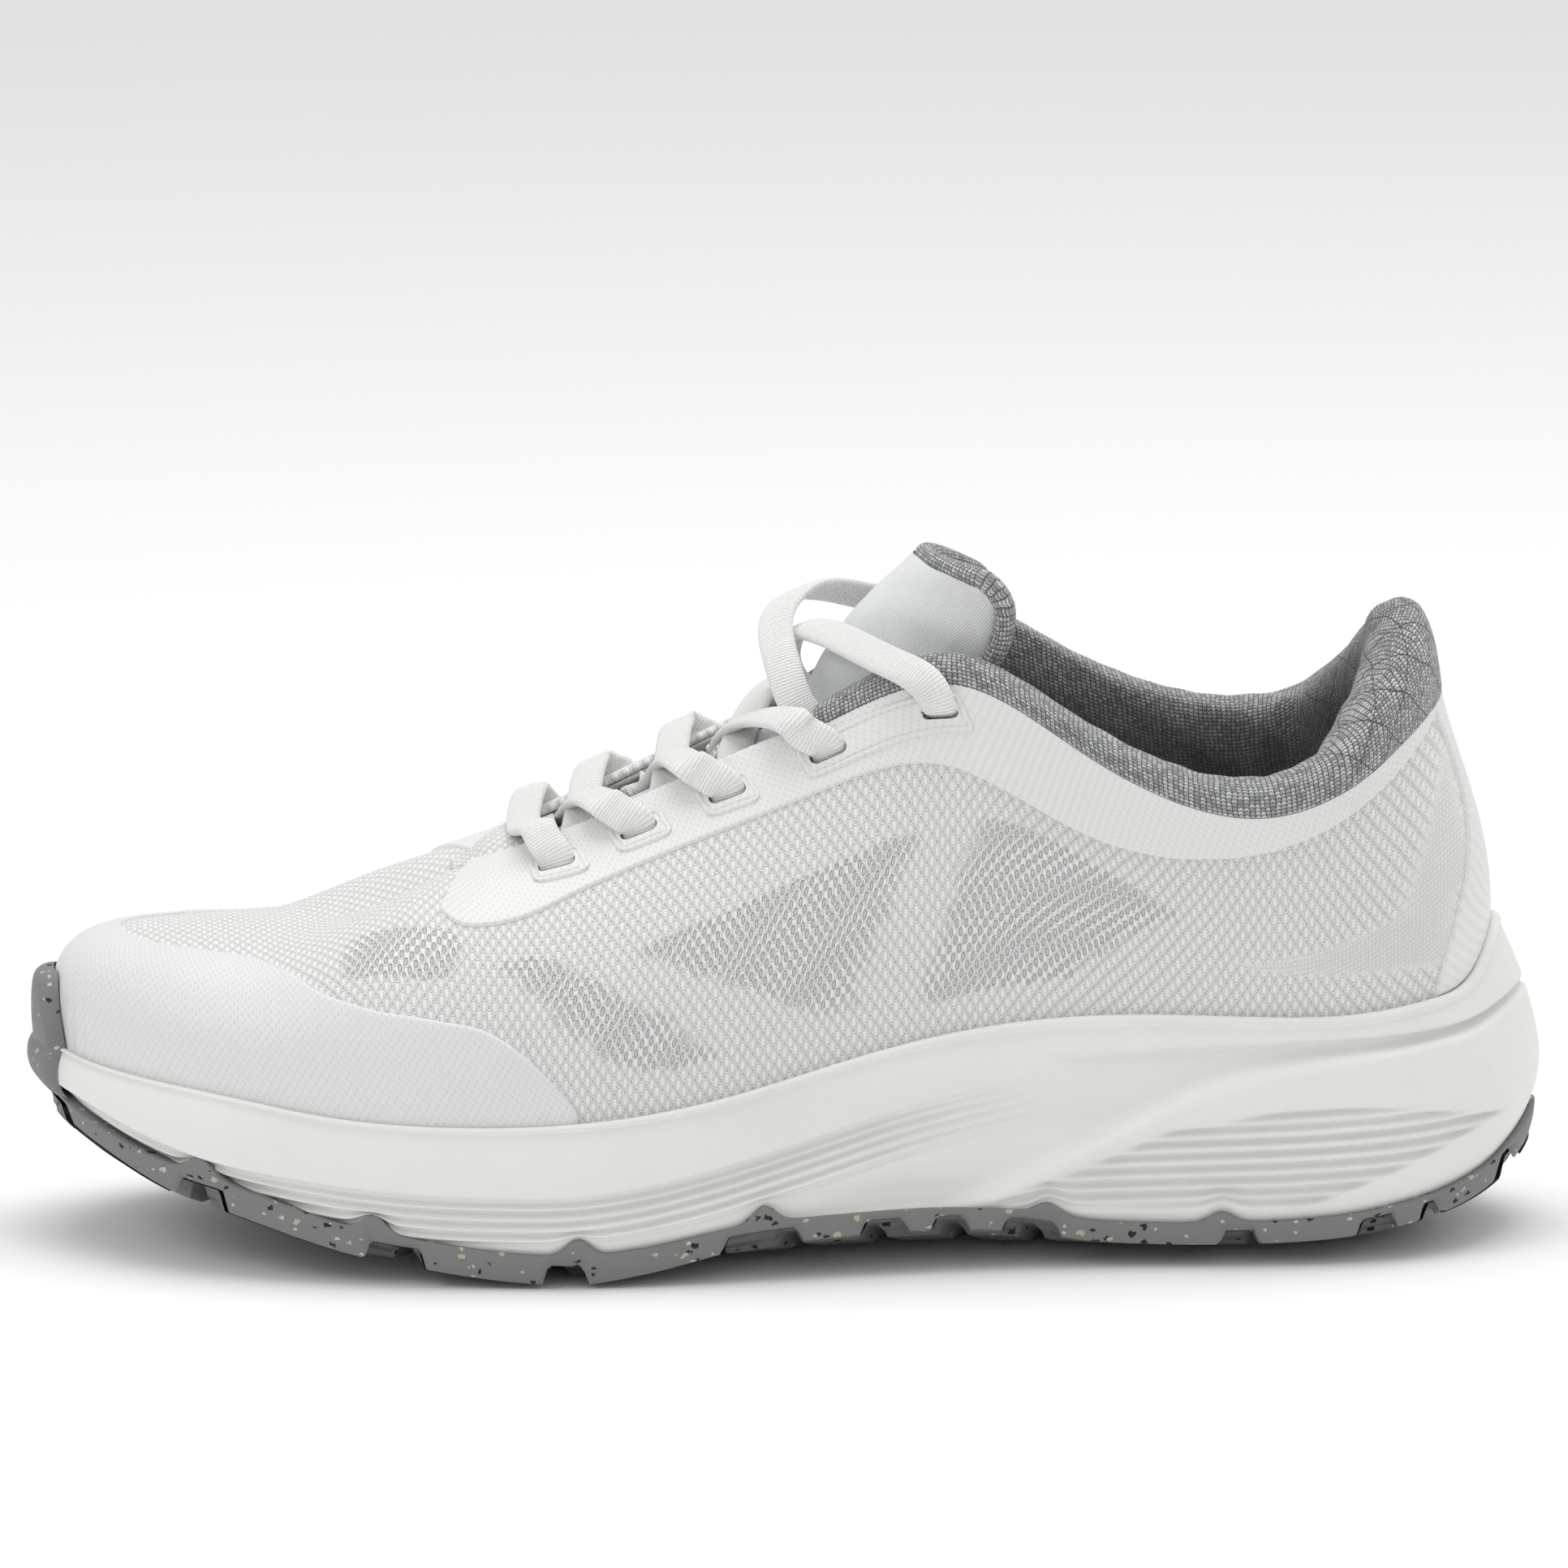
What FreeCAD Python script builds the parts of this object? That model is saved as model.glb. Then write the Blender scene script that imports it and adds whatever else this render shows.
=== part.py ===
"""Running shoe, left foot, built as separate pieces.

Frame: +X from toe to heel, +Z up, millimetres. -Y is the lateral (outer) side of the foot and
+Y the medial side. The ground touches the lowest lugs at Z = 0.

The shape of the foot form is held by stations that run from the toe tip to the back of the heel.
Going round the shoe, a place is a number: 0 at the toe tip, 16 at the back of the heel along the
lateral side, and back to 32 at the toe tip along the medial side. A second number, the rise, runs
up the wall of the upper, from 0 at the edge of the midsole to 1 at the collar, throat or ridge.
"""
import FreeCAD, Part
import Sketcher
import math
import os

Vector = FreeCAD.Vector

DIMENSIONS = {
    "shoe_length": 300.0,
    "sole_width": 107.0,
    "rubber_sheet": 2.2,
    "lug_depth": 2.6,
    "bumper_thickness": 2.8,
    "mesh_thickness": 1.4,
    "film_thickness": 0.6,
    "patch_thickness": 0.8,
    "puff_thickness": 0.8,
    "counter_thickness": 1.5,
    "liner_thickness": 0.6,
    "board_thickness": 1.2,
    "insole_thickness": 4.5,
    "tongue_thickness": 5.5,
    "layer_gap": 0.15,
    "lace_width": 7.0,
    "lace_thickness": 1.5,
    "aglet_length": 20.0,
    "aglet_radius": 1.6,
}

HALF = 16
AROUND = 2 * HALF

# Sole outline at its widest, from toe tip to heel: x, lateral y, medial y.
SOLE_X = [-147, -144, -137, -126, -110, -90, -66, -40, -14, 14, 42, 70, 96, 118, 134, 144, 149.5]
SOLE_LATERAL = [8, -6, -17.5, -29.5, -39.5, -47, -52, -53.5, -50.5, -45.5, -41.5, -41, -41.5, -38, -29, -16.5, 0]
SOLE_MEDIAL = [8, 22, 32, 40.5, 47, 52, 53.5, 50, 42.5, 37.2, 36, 38.5, 40, 37, 28.5, 16.5, 0]

# Foot of the upper, where it leaves the midsole.
BASE_X = [-143.5, -140.5, -133.5, -122.5, -107, -88, -65, -40, -14, 13, 40, 66, 90, 110, 125, 134.5, 139]
BASE_LATERAL = [8, -4, -14.5, -25.5, -35, -42.5, -47.5, -48.5, -45.5, -40.5, -36.5, -35, -34.8, -32, -24.5, -14, 0]
BASE_MEDIAL = [8, 20.5, 29.5, 37, 43, 47.5, 49, 45.5, 38.5, 33, 31, 32, 33, 31, 24, 14, 0]
BASE_Z = [38, 37.2, 36.2, 35.4, 33.8, 31.4, 30.6, 31.6, 35.6, 42.6, 47.6, 49, 48.2, 47.8, 49, 52.5, 61]

# Top of the upper: ridge over the toes, then the throat edge, then the collar.
TOP_X = [-113, -111, -106, -98, -84, -65, -55, -40, -16, 9, 33, 59, 86, 106, 119, 126.5, 128.5]
TOP_Y = [6, 6, 6, 5.5, 5, 3.5, 2.8, 1.5, 0.5, 0, 0, 0, 0, 0, 0, 0, 0]
TOP_OPEN = [0, 0, 0, 0, 0, 0, 10.5, 14.5, 15.5, 17.5, 26, 30.5, 33.5, 30.5, 21.5, 10.5, 0]
TOP_Z = [61.3, 61.3, 61.4, 61.7, 63.4, 72.3, 78.2, 85, 96.5, 108.5, 117, 102.5, 91.5, 94.5, 102.5, 108, 109.5]
TOP_MEDIAL_LIFT = [0, 0, 0, 0, 0, 0, 0, 0, 0, 0, 1.5, 3.5, 4.5, 3, 1, 0, 0]

# Fullness of the wall between them: how far it climbs before it turns in, and how it arrives.
CLIMB = [0.85, 0.85, 0.82, 0.78, 0.74, 0.7, 0.64, 0.6, 0.58, 0.55, 0.5, 0.45, 0.4, 0.4, 0.4, 0.4, 0.4]
BELLY = [2, 2, 2, 2, 2, 2, 2, 2, 1.5, 1, 0.5, 1, 1.5, 1.8, 1.8, 1.5, 1]
ARRIVE_RUN = [0.92, 0.9, 0.82, 0.74, 0.66, 0.58, 0.52, 0.45, 0.42, 0.38, 0.25, 0.2, 0.2, 0.2, 0.2, 0.25, 0.25]
ARRIVE_DROP = [0, 0, 0, 0, 0, 0, 0.1, 0.18, 0.22, 0.28, 0.3, 0.3, 0.3, 0.3, 0.3, 0.3, 0.3]

# Side view of the sole: lug bottoms, and the bed that the foot form rests on.
ROCKER = [(-152, 27), (-146, 22.5), (-138, 17.8), (-121, 11.2), (-104, 6.6), (-84, 2.8), (-66, 0.7), (-50, 0),
          (-30, 0), (-12, 0.9), (8, 1.7), (30, 1.7), (50, 0.6), (66, 0), (104, 0), (118, 1.4), (130, 4.4),
          (139, 8.6), (145, 13), (152, 19.5)]
BED = [(-150, 34), (-135, 30), (-110, 25.5), (-80, 22.5), (-50, 21.5), (-20, 22.5), (10, 25), (40, 28),
       (70, 30), (100, 31), (130, 32), (150, 33)]

# Spine of the tongue: x, z, half width, how far its edges fall, how far its edges sweep back.
TONGUE_ROWS = [
    (-66, 67.5, 13, 3.5, 2),
    (-52, 76.0, 18.5, 7.0, 4),
    (-30, 86.0, 21, 9.5, 6),
    (-10, 96.0, 20, 9.5, 8),
    (2, 105.0, 18, 8.0, 12),
    (8, 115.0, 17, 7.5, 20),
    (16, 126.0, 18.5, 7.0, 25),
    (25, 136.0, 22, 3.5, 15),
]
FLAP_START = 4.15

# Lace holes along the throat edge: place round the shoe and rise up the wall.
EYELETS = [(6.78, 0.80), (7.46, 0.80), (8.18, 0.80), (8.97, 0.80), (9.93, 0.88)]

UP = Vector(0, 0, 1)


def cubic_slopes(values, closed):
    """Slopes at each value of the smooth cubic through all of them, one unit apart."""
    count = len(values)
    slope = [0.0] * count
    for _ in range(60):
        for i in range(count):
            if closed:
                before, after = (i - 1) % count, (i + 1) % count
                slope[i] = (3 * (values[after] - values[before]) - slope[before] - slope[after]) / 4
            elif i == 0:
                slope[i] = (3 * (values[1] - values[0]) - slope[1]) / 2
            elif i == count - 1:
                slope[i] = (3 * (values[i] - values[i - 1]) - slope[i - 1]) / 2
            else:
                slope[i] = (3 * (values[i + 1] - values[i - 1]) - slope[i - 1] - slope[i + 1]) / 4
    return slope


def level_slopes(values):
    """Slopes of a closed curve that never overshoots: flat wherever its neighbours are level."""
    count = len(values)
    slope = []
    for i in range(count):
        rise_in = values[i] - values[i - 1]
        rise_out = values[(i + 1) % count] - values[i]
        product = rise_in * rise_out
        slope.append(2 * product / (rise_in + rise_out) if product > 0 else 0.0)
    return slope


def curve(values, closed=False, level=False):
    """A function through the values at 0, 1, 2 and so on."""
    slope = level_slopes(values) if level else cubic_slopes(values, closed)
    count = len(values)

    def at(place):
        if closed:
            place = place % count
            i = int(place)
            j = (i + 1) % count
        else:
            i = max(0, min(int(place), count - 2))
            j = i + 1
        f = place - i
        if not closed and f > 1:
            return values[j] + slope[j] * (f - 1)
        if not closed and f < 0:
            return values[i] + slope[i] * f
        return (values[i] * (1 + 2 * f) * (1 - f) ** 2 + slope[i] * f * (1 - f) ** 2
                + values[j] * (3 - 2 * f) * f * f + slope[j] * (f - 1) * f * f)
    return at


def profile(points):
    """Height as a function of x through the (x, height) points, by finite-difference cubic."""
    xs = [point[0] for point in points]
    zs = [point[1] for point in points]
    steps = [(zs[i + 1] - zs[i]) / (xs[i + 1] - xs[i]) for i in range(len(xs) - 1)]
    slope = [steps[0]] + [(a + b) / 2 for a, b in zip(steps, steps[1:])] + [steps[-1]]

    def at(x):
        i = 0
        while i < len(xs) - 2 and x > xs[i + 1]:
            i += 1
        width = xs[i + 1] - xs[i]
        f = (x - xs[i]) / width
        return (zs[i] * (1 + 2 * f) * (1 - f) ** 2 + slope[i] * width * f * (1 - f) ** 2
                + zs[i + 1] * (3 - 2 * f) * f * f + slope[i + 1] * width * (f - 1) * f * f)
    return at


def around(lateral, medial=None):
    """The values of both sides in order round the shoe, from the toe tip by way of the heel."""
    medial = lateral if medial is None else medial
    return list(lateral) + list(reversed(medial[1:-1]))


def loop(lateral, medial=None):
    return curve(around(lateral, medial), closed=True)


sole_x, sole_y = loop(SOLE_X), loop(SOLE_LATERAL, SOLE_MEDIAL)
base_x, base_y, base_z = loop(BASE_X), loop(BASE_LATERAL, BASE_MEDIAL), loop(BASE_Z)
top_x, top_y, top_z = loop(TOP_X), loop(TOP_Y), loop(TOP_Z)
top_open = curve(around([-v for v in TOP_OPEN], TOP_OPEN), closed=True, level=True)
top_lift = curve(around([0] * (HALF + 1), TOP_MEDIAL_LIFT), closed=True, level=True)
climb, belly = loop(CLIMB), loop(BELLY)
arrive_run, arrive_drop = loop(ARRIVE_RUN), loop(ARRIVE_DROP)
rocker, bed = profile(ROCKER), profile(BED)

RIDGE_END = 5
FEATHER_RISE = -0.2
FEATHER_INSET = 5.0


def smoothstep(low, high, value):
    f = max(0.0, min(1.0, (value - low) / (high - low)))
    return f * f * (3 - 2 * f)


def outline_normal(x_of, y_of, place):
    """Level outward direction of an outline that runs anticlockwise seen from above."""
    step = 0.02
    dx = x_of(place + step) - x_of(place - step)
    dy = y_of(place + step) - y_of(place - step)
    return Vector(dy, -dx, 0).normalize()


def base_point(place, outward=0.0):
    point = Vector(base_x(place), base_y(place), base_z(place))
    return point + outline_normal(base_x, base_y, place) * outward


def sole_point(place, outward=0.0):
    point = Vector(sole_x(place), sole_y(place), 0)
    return point + outline_normal(sole_x, sole_y, place) * outward


def feather_point(place, outward=0.0):
    """Edge of the foot form's flat bottom, down in the midsole's cradle."""
    point = base_point(place, outward - FEATHER_INSET)
    point.z = bed(point.x)
    return point


def wall_point(place, rise):
    """The outer face of the upper's mesh."""
    base = base_point(place)
    if rise < 0:
        return base + (feather_point(place) - base) * (rise / FEATHER_RISE)
    top = Vector(top_x(place), top_y(place) + top_open(place), top_z(place) + top_lift(place))
    height = top.z - base.z
    outward = outline_normal(base_x, base_y, place)
    turn_in = base + outward * belly(place) + UP * (climb(place) * height)
    inward = Vector(top.x - base.x, top.y - base.y, 0)
    arrive = top - inward * arrive_run(place) - UP * (arrive_drop(place) * height)
    left = 1 - rise
    return (base * left ** 3 + turn_in * (3 * left * left * rise)
            + arrive * (3 * left * rise * rise) + top * rise ** 3)


def wall_normal(place, rise):
    step = 0.02
    from_tip = min(place % AROUND, AROUND - place % AROUND)
    near_ridge = from_tip < RIDGE_END + 0.9
    if near_ridge:
        rise = min(rise, 0.97)
    along = wall_point(place + step, rise) - wall_point(place - step, rise)
    upward = wall_point(place, rise + step) - wall_point(place, rise - step)
    normal = along.cross(upward).normalize()
    if near_ridge:
        dx = top_x(place + step) - top_x(place - step)
        dz = top_z(place + step) - top_z(place - step)
        slope = dz / dx if abs(dx) > 1e-4 else 0.0
        ridge = Vector(-slope, 0, 1).normalize()
        share = smoothstep(0.8, 0.97, rise)
        normal = (normal * (1 - share) + ridge * share).normalize()
    return normal


def skin_point(place, rise, offset):
    return wall_point(place, rise) + wall_normal(place, rise) * offset


def spread(low, high, count):
    return [low + (high - low) * i / (count - 1) for i in range(count)]


def even_curve(points):
    """Cubic through the points at even parameters, so that neighbours with the same points match."""
    line = Part.BSplineCurve()
    line.interpolate(Points=points, Parameters=[float(i) for i in range(len(points))])
    return line


def grid_surface(grid):
    """Cubic surface through a grid of points."""
    rows = [even_curve(row) for row in grid]
    columns = [even_curve([row.getPole(j + 1) for row in rows]) for j in range(rows[0].NbPoles)]
    poles = [[column.getPole(i + 1) for column in columns] for i in range(columns[0].NbPoles)]
    along, across = columns[0], rows[0]
    surface = Part.BSplineSurface()
    surface.buildFromPolesMultsKnots(poles, along.getMultiplicities(), across.getMultiplicities(),
                                     along.getKnots(), across.getKnots(), False, False, 3, 3)
    return surface


def border(surface):
    """The four edge curves of a surface, in a fixed order."""
    u0, u1, v0, v1 = surface.bounds()
    return [surface.uIso(u0), surface.uIso(u1), surface.vIso(v0), surface.vIso(v1)]


def ruled_face(curve_a, curve_b):
    """Straight-sided face between two cubics with the same knots."""
    poles = [[a, b] for a, b in zip(curve_a.getPoles(), curve_b.getPoles())]
    surface = Part.BSplineSurface()
    surface.buildFromPolesMultsKnots(poles, curve_a.getMultiplicities(), [2, 2], curve_a.getKnots(),
                                     [0.0, 1.0], False, False, 3, 1)
    return surface.toShape()


def sewn(faces):
    """One solid from faces that meet edge to edge."""
    skin = Part.Compound(faces)
    skin.sewShape(0.02)
    shell = skin.Shells[0] if skin.Shells else skin
    body = Part.Solid(shell)
    if body.Volume < 0:
        body.reverse()
    body.fix(0.02, 0.02, 0.05)
    return body


def sheet_solid(front, back):
    """Solid between two point grids, closed by ruled edges."""
    outer, inner = grid_surface(front), grid_surface(back)
    faces = [outer.toShape(), inner.toShape()]
    for edge_a, edge_b in zip(border(outer), border(inner)):
        faces.append(ruled_face(edge_a, edge_b))
    return sewn(faces)


def layer_grid(places, rises, offset):
    """Grid on the upper at an offset; rises may be a function of the place."""
    grid = []
    for place in places:
        span = rises(place) if callable(rises) else rises
        depth = offset
        grid.append([skin_point(place, rise, depth(place, rise) if callable(depth) else depth)
                     for rise in span])
    return grid


def layer_solid(places, rises, outer, inner):
    return sheet_solid(layer_grid(places, rises, outer), layer_grid(places, rises, inner))


def domed_solid(open_ends, rises, outer, inner):
    """Layer over the toes: two halves that meet in one skin at the toe tip and the ridge."""
    lateral_end, medial_end = open_ends
    halves = ((spread(0, lateral_end, 22), (0, 3)), (spread(medial_end, AROUND, 22), (1, 3)))
    faces = []
    for places, shared in halves:
        front = grid_surface(layer_grid(places, rises, outer))
        back = grid_surface(layer_grid(places, rises, inner))
        faces += [front.toShape(), back.toShape()]
        for number, (edge_a, edge_b) in enumerate(zip(border(front), border(back))):
            if number not in shared:
                faces.append(ruled_face(edge_a, edge_b))
    return sewn(faces)


CORNER = 2.0


def footprint_edges(point_at, length_count=34, width_count=12):
    """The outline's four stretches: toe arc, heel arc, lateral side, medial side."""
    toe = [point_at(place) for place in spread(-CORNER, CORNER, width_count)]
    heel = [point_at(place) for place in spread(HALF + CORNER, HALF - CORNER, width_count)]
    lateral = [point_at(place) for place in spread(CORNER, HALF - CORNER, length_count)]
    medial = [point_at(place) for place in spread(AROUND - CORNER, HALF + CORNER, length_count)]
    return toe, heel, medial, lateral


def footprint_grid(point_at, height_at):
    """Grid that fills the outline, rows from toe to heel, each from medial to lateral."""
    toe, heel, medial, lateral = footprint_edges(point_at)
    rows, columns = len(lateral), len(toe)
    grid = []
    for i in range(rows):
        u = i / (rows - 1)
        row = []
        for j in range(columns):
            v = j / (columns - 1)
            corners = ((toe[0] * (1 - v) + toe[-1] * v) * (1 - u)
                       + (heel[0] * (1 - v) + heel[-1] * v) * u)
            point = (medial[i] * (1 - v) + lateral[i] * v
                     + toe[j] * (1 - u) + heel[j] * u - corners)
            row.append(Vector(point.x, point.y, height_at(point)))
        grid.append(row)
    return grid


def band_edges(point_at):
    """Edges through the outline's four stretches."""
    edges = []
    for points in footprint_edges(point_at):
        edges.append(even_curve(points))
    return edges


def stacked_solid(bottom, loops, top):
    """Solid with a bottom and a top grid, and a wall of ruled bands through the loops between."""
    bottom_surface, top_surface = grid_surface(bottom), grid_surface(top)
    rings = [border(bottom_surface)] + [band_edges(point_at) for point_at in loops] + [border(top_surface)]
    faces = [bottom_surface.toShape(), top_surface.toShape()]
    for lower, upper in zip(rings, rings[1:]):
        for edge_a, edge_b in zip(lower, upper):
            faces.append(ruled_face(edge_a, edge_b))
    return sewn(faces)


# ---------------------------------------------------------------- document and its dimensions

document = FreeCAD.newDocument("running_shoe")
sheet = document.addObject("Spreadsheet::Sheet", "Dimensions")
for line_number, (alias, value) in enumerate(DIMENSIONS.items(), start=1):
    sheet.set("A%d" % line_number, alias)
    sheet.set("B%d" % line_number, str(value))
    sheet.setAlias("B%d" % line_number, alias)
document.recompute()

gap = float(sheet.layer_gap)
mesh_inner = -float(sheet.mesh_thickness)
film_outer = gap + float(sheet.film_thickness)
patch_outer = film_outer + gap + float(sheet.patch_thickness)
backing_outer = mesh_inner - gap
puff_inner = backing_outer - float(sheet.puff_thickness)
counter_inner = backing_outer - float(sheet.counter_thickness)
liner_outer = puff_inner - gap
liner_inner = liner_outer - float(sheet.liner_thickness)
tread_height = float(sheet.lug_depth) + float(sheet.rubber_sheet)
sub_parts = []


def add_feature(name, shape):
    """A sub-part whose shape is set directly."""
    feature = document.addObject("Part::Feature", name)
    feature.Label = name
    feature.Shape = shape
    feature.Placement = FreeCAD.Placement()
    sub_parts.append(feature)
    return feature


def add_sketch(name, geometry, rotation):
    sketch = document.addObject("Sketcher::SketchObject", name)
    sketch.Placement = FreeCAD.Placement(Vector(0, 0, 0), rotation)
    sketch.addGeometry(geometry, False)
    return sketch


def add_extrusion(name, sketch, direction, length_expression, middle=False):
    solid = document.addObject("Part::Extrusion", name)
    solid.Base = sketch
    solid.DirMode = "Custom"
    solid.Dir = direction
    solid.Symmetric = middle
    solid.Solid = True
    solid.setExpression("LengthFwd", length_expression)
    return solid


SIDE_VIEW = FreeCAD.Rotation(Vector(1, 0, 0), 90)
TOP_VIEW = FreeCAD.Rotation()


def add_slab(name, lower, upper, x_low, x_high):
    """Slab across the whole shoe between two side-view height profiles."""
    xs = spread(x_low, x_high, 26)
    bottom = even_curve([Vector(x, lower(x), 0) for x in xs])
    top = even_curve([Vector(x, upper(x), 0) for x in xs])
    ends = [Part.LineSegment(Vector(x, lower(x), 0), Vector(x, upper(x), 0)) for x in (x_low, x_high)]
    sketch = add_sketch(name + "_profile", [bottom, ends[1], top, ends[0]], SIDE_VIEW)
    return add_extrusion(name, sketch, Vector(0, -1, 0), "Dimensions.sole_width * 1.3", middle=True)


def add_prism(name, point_at):
    """Upright prism on a closed outline seen from above."""
    points = [Vector(point.x, point.y, 0) for point in map(point_at, spread(0, AROUND - 0.5, AROUND * 2))]
    outline = Part.BSplineCurve()
    outline.interpolate(Points=points, PeriodicFlag=True)
    sketch = add_sketch(name + "_outline", [outline], TOP_VIEW)
    return add_extrusion(name, sketch, Vector(0, 0, 1), "Dimensions.shoe_length / 4")


def add_common(name, *shapes):
    common = document.addObject("Part::MultiCommon", name)
    common.Label = name
    common.Shapes = list(shapes)
    return common


# ---------------------------------------------------------------- sole

TREAD_INSET = 3.0
LUG_PITCH = 15.0
LUG_LENGTH = 11.0
LUG_ROWS_Y = [-45, -27, -9, 9, 27, 45]
LUG_WIDTH = 14.0
LUG_POINT = 3.0
LUG_ROOT = 1.0
FIRST_LUG_X = -136.0
LAST_LUG_X = 142.0


def lug(x, y):
    """Six-sided tread block that follows the slope of the rocker."""
    half_length, half_width = LUG_LENGTH / 2, LUG_WIDTH / 2
    shoulder = half_length - LUG_POINT
    corners = [(-half_length, -half_width), (shoulder, -half_width), (half_length, 0),
               (shoulder, half_width), (-half_length, half_width), (-shoulder, 0)]
    wire = Part.makePolygon([Vector(a, b, 0) for a, b in corners + corners[:1]])
    block = Part.Face(wire).extrude(Vector(0, 0, float(sheet.lug_depth) + LUG_ROOT))
    slope = math.degrees(math.atan((rocker(x + 2) - rocker(x - 2)) / 4))
    block.Placement = FreeCAD.Placement(Vector(x, y, rocker(x)), FreeCAD.Rotation(Vector(0, -1, 0), slope))
    return block


def tread_blocks():
    blocks = []
    x = FIRST_LUG_X
    while x < LAST_LUG_X:
        for number, y in enumerate(LUG_ROWS_Y):
            shift = LUG_PITCH / 2 if number % 2 else 0
            blocks.append(lug(x + shift, y))
        x += LUG_PITCH
    return blocks


def sole_wall_point(place, share, inset=0.0):
    """Side of the midsole: share 0 at its lower edge, 1 at the edge round the upper."""
    foot = sole_point(place, -TREAD_INSET)
    rim = base_point(place, RIM)
    low = rocker(foot.x) + tread_height + gap
    lean = smoothstep(0.35, 1.0, share)
    widest = sole_point(place)
    swell = smoothstep(0.0, 0.35, share)
    side = (foot * (1 - swell) + widest * swell) * (1 - lean) + rim * lean
    return Vector(side.x, side.y, low + (rim.z - low) * share)


RIM = 1.6
CRADLE_GAP = 0.6
BUMPER_HALF_SPAN = 1.25
BUMPER_TOP = 51.0


def add_outsole():
    def footprint(place):
        return sole_point(place, -TREAD_INSET)

    def sheet_low(x):
        return rocker(x) + float(sheet.lug_depth)

    def sheet_high(x):
        return rocker(x) + tread_height

    prism = add_prism("tread_outline", footprint)
    slab = add_slab("tread_slab", sheet_low, sheet_high, -151, 151)
    blank = add_common("tread_sheet", slab, prism)
    blocks = document.addObject("Part::Feature", "tread_blocks")
    blocks.Shape = Part.Compound(tread_blocks())
    document.recompute()
    trimmed = add_common("tread_blocks_trimmed", blocks, prism)
    bumper = document.addObject("Part::Feature", "toe_bumper")
    bumper.Shape = toe_bumper()
    outsole = document.addObject("Part::MultiFuse", "outsole")
    outsole.Label = "outsole"
    outsole.Shapes = [blank, trimmed, bumper]
    sub_parts.append(outsole)


def toe_bumper():
    """Rubber tab that wraps up over the toe of the midsole."""
    places = spread(-BUMPER_HALF_SPAN, BUMPER_HALF_SPAN, 11)

    def column(place, offset):
        outward = outline_normal(sole_x, sole_y, place)
        edge = 1 - (abs(place) / BUMPER_HALF_SPAN) ** 4
        points = []
        for step in range(9):
            share = step / 8 * (0.72 + 0.28 * edge)
            low = rocker(sole_point(place, -TREAD_INSET).x) + float(sheet.lug_depth) + 0.4
            height = low + (BUMPER_TOP - low) * share
            wall = sole_wall_point(place, min(1.0, max(0.0, (height - 24) / 14)))
            points.append(Vector(wall.x, wall.y, height) + outward * offset)
        return points

    outer = float(sheet.bumper_thickness)
    return sheet_solid([column(place, 2 * gap + outer) for place in places],
                       [column(place, 2 * gap) for place in places])


def midsole():
    def lower(place):
        return sole_wall_point(place, 0.0)

    def bed_edge(place):
        return feather_point(place, CRADLE_GAP)

    shares = (0.18, 0.4, 0.6, 0.8, 1.0)
    loops = [lambda place, share=share: sole_wall_point(place, share) for share in shares]
    loops.append(lambda place: base_point(place, CRADLE_GAP))
    return stacked_solid(footprint_grid(lower, lambda point: rocker(point.x) + tread_height + gap),
                         loops, footprint_grid(bed_edge, lambda point: bed(point.x)))


def add_board(name, inset, low, high):
    """Flat layer on the bed of the midsole."""
    prism = add_prism(name + "_outline", lambda place: feather_point(place, -inset))
    slab = add_slab(name + "_slab", lambda x: bed(x) + low, lambda x: bed(x) + high, -150, 150)
    sub_parts.append(add_common(name, slab, prism))


def add_sole():
    add_outsole()
    add_feature("midsole", midsole())
    board_top = gap + float(sheet.board_thickness)
    add_board("strobel_board", -liner_inner + 0.5, gap, board_top)
    insole_low = board_top + gap
    add_board("insole", -liner_inner + 1.5, insole_low, insole_low + float(sheet.insole_thickness))


# ---------------------------------------------------------------- upper

# Rise of the toe film's upper edge from the toe tip back along either side.
CAP_RISE = [0.78, 0.77, 0.70, 0.60, 0.50, 0.42, 0.28, 0.05]
CAP_END = 6.9
FILM_FOOT = 0.012
# Rise of the lower edge of the eyestay and collar film, from place 5 to the heel.
BAND_START = 5
BAND_RISE = [0.74, 0.69, 0.66, 0.66, 0.77, 0.70, 0.62, 0.72, 0.78, 0.86, 0.91, 0.93]
BAND_TOP = 0.985
HEEL_FILM_EDGE = [(0.0, 14.25), (0.5, 14.95), (1.0, 15.15)]

COLLAR_START = 9.3
# From place 9 to the heel: height of the roll over the shell, and its depth towards the foot.
ROLL_HEIGHT = [3, 3.5, 4, 4.5, 6, 11, 15.5, 17]
ROLL_DEPTH = [3.4, 4.0, 7.5, 9.5, 10, 10.5, 11, 11]
FOAM_START = 10.7
QUARTER_LINER_TOP = 0.70
LINING = 0.8
LINING_LOW_DEPTH = 4.4

SLOT_LENGTH = 8.8
SLOT_WIDTH = 3.8
SLOT_DEPTH = 16.0
# Places where each raised frame round the lace holes starts and ends, and its reach up and down the wall.
PATCHES = [(6.44, 7.12), (7.235, 7.685), (7.965, 8.395), (8.75, 10.15)]
PATCH_REACH = 0.065


def from_tip(place):
    return min(place % AROUND, AROUND - place % AROUND)


band_rise = curve(BAND_RISE)
cap_rise = curve(CAP_RISE)
heel_edge = profile(HEEL_FILM_EDGE)
roll_height = curve(around([0] * 9 + ROLL_HEIGHT), closed=True, level=True)
roll_depth = curve(around([3.4] * 9 + ROLL_DEPTH), closed=True, level=True)

WALL_RISES = spread(FEATHER_RISE, 0, 3) + spread(0, 1, 12)[1:]


def slot_axes(place, rise):
    """Origin, direction along the throat and outward direction of a lace hole."""
    along = (wall_point(place + 0.1, rise) - wall_point(place - 0.1, rise)).normalize()
    return wall_point(place, rise), along, wall_normal(place, rise)


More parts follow.
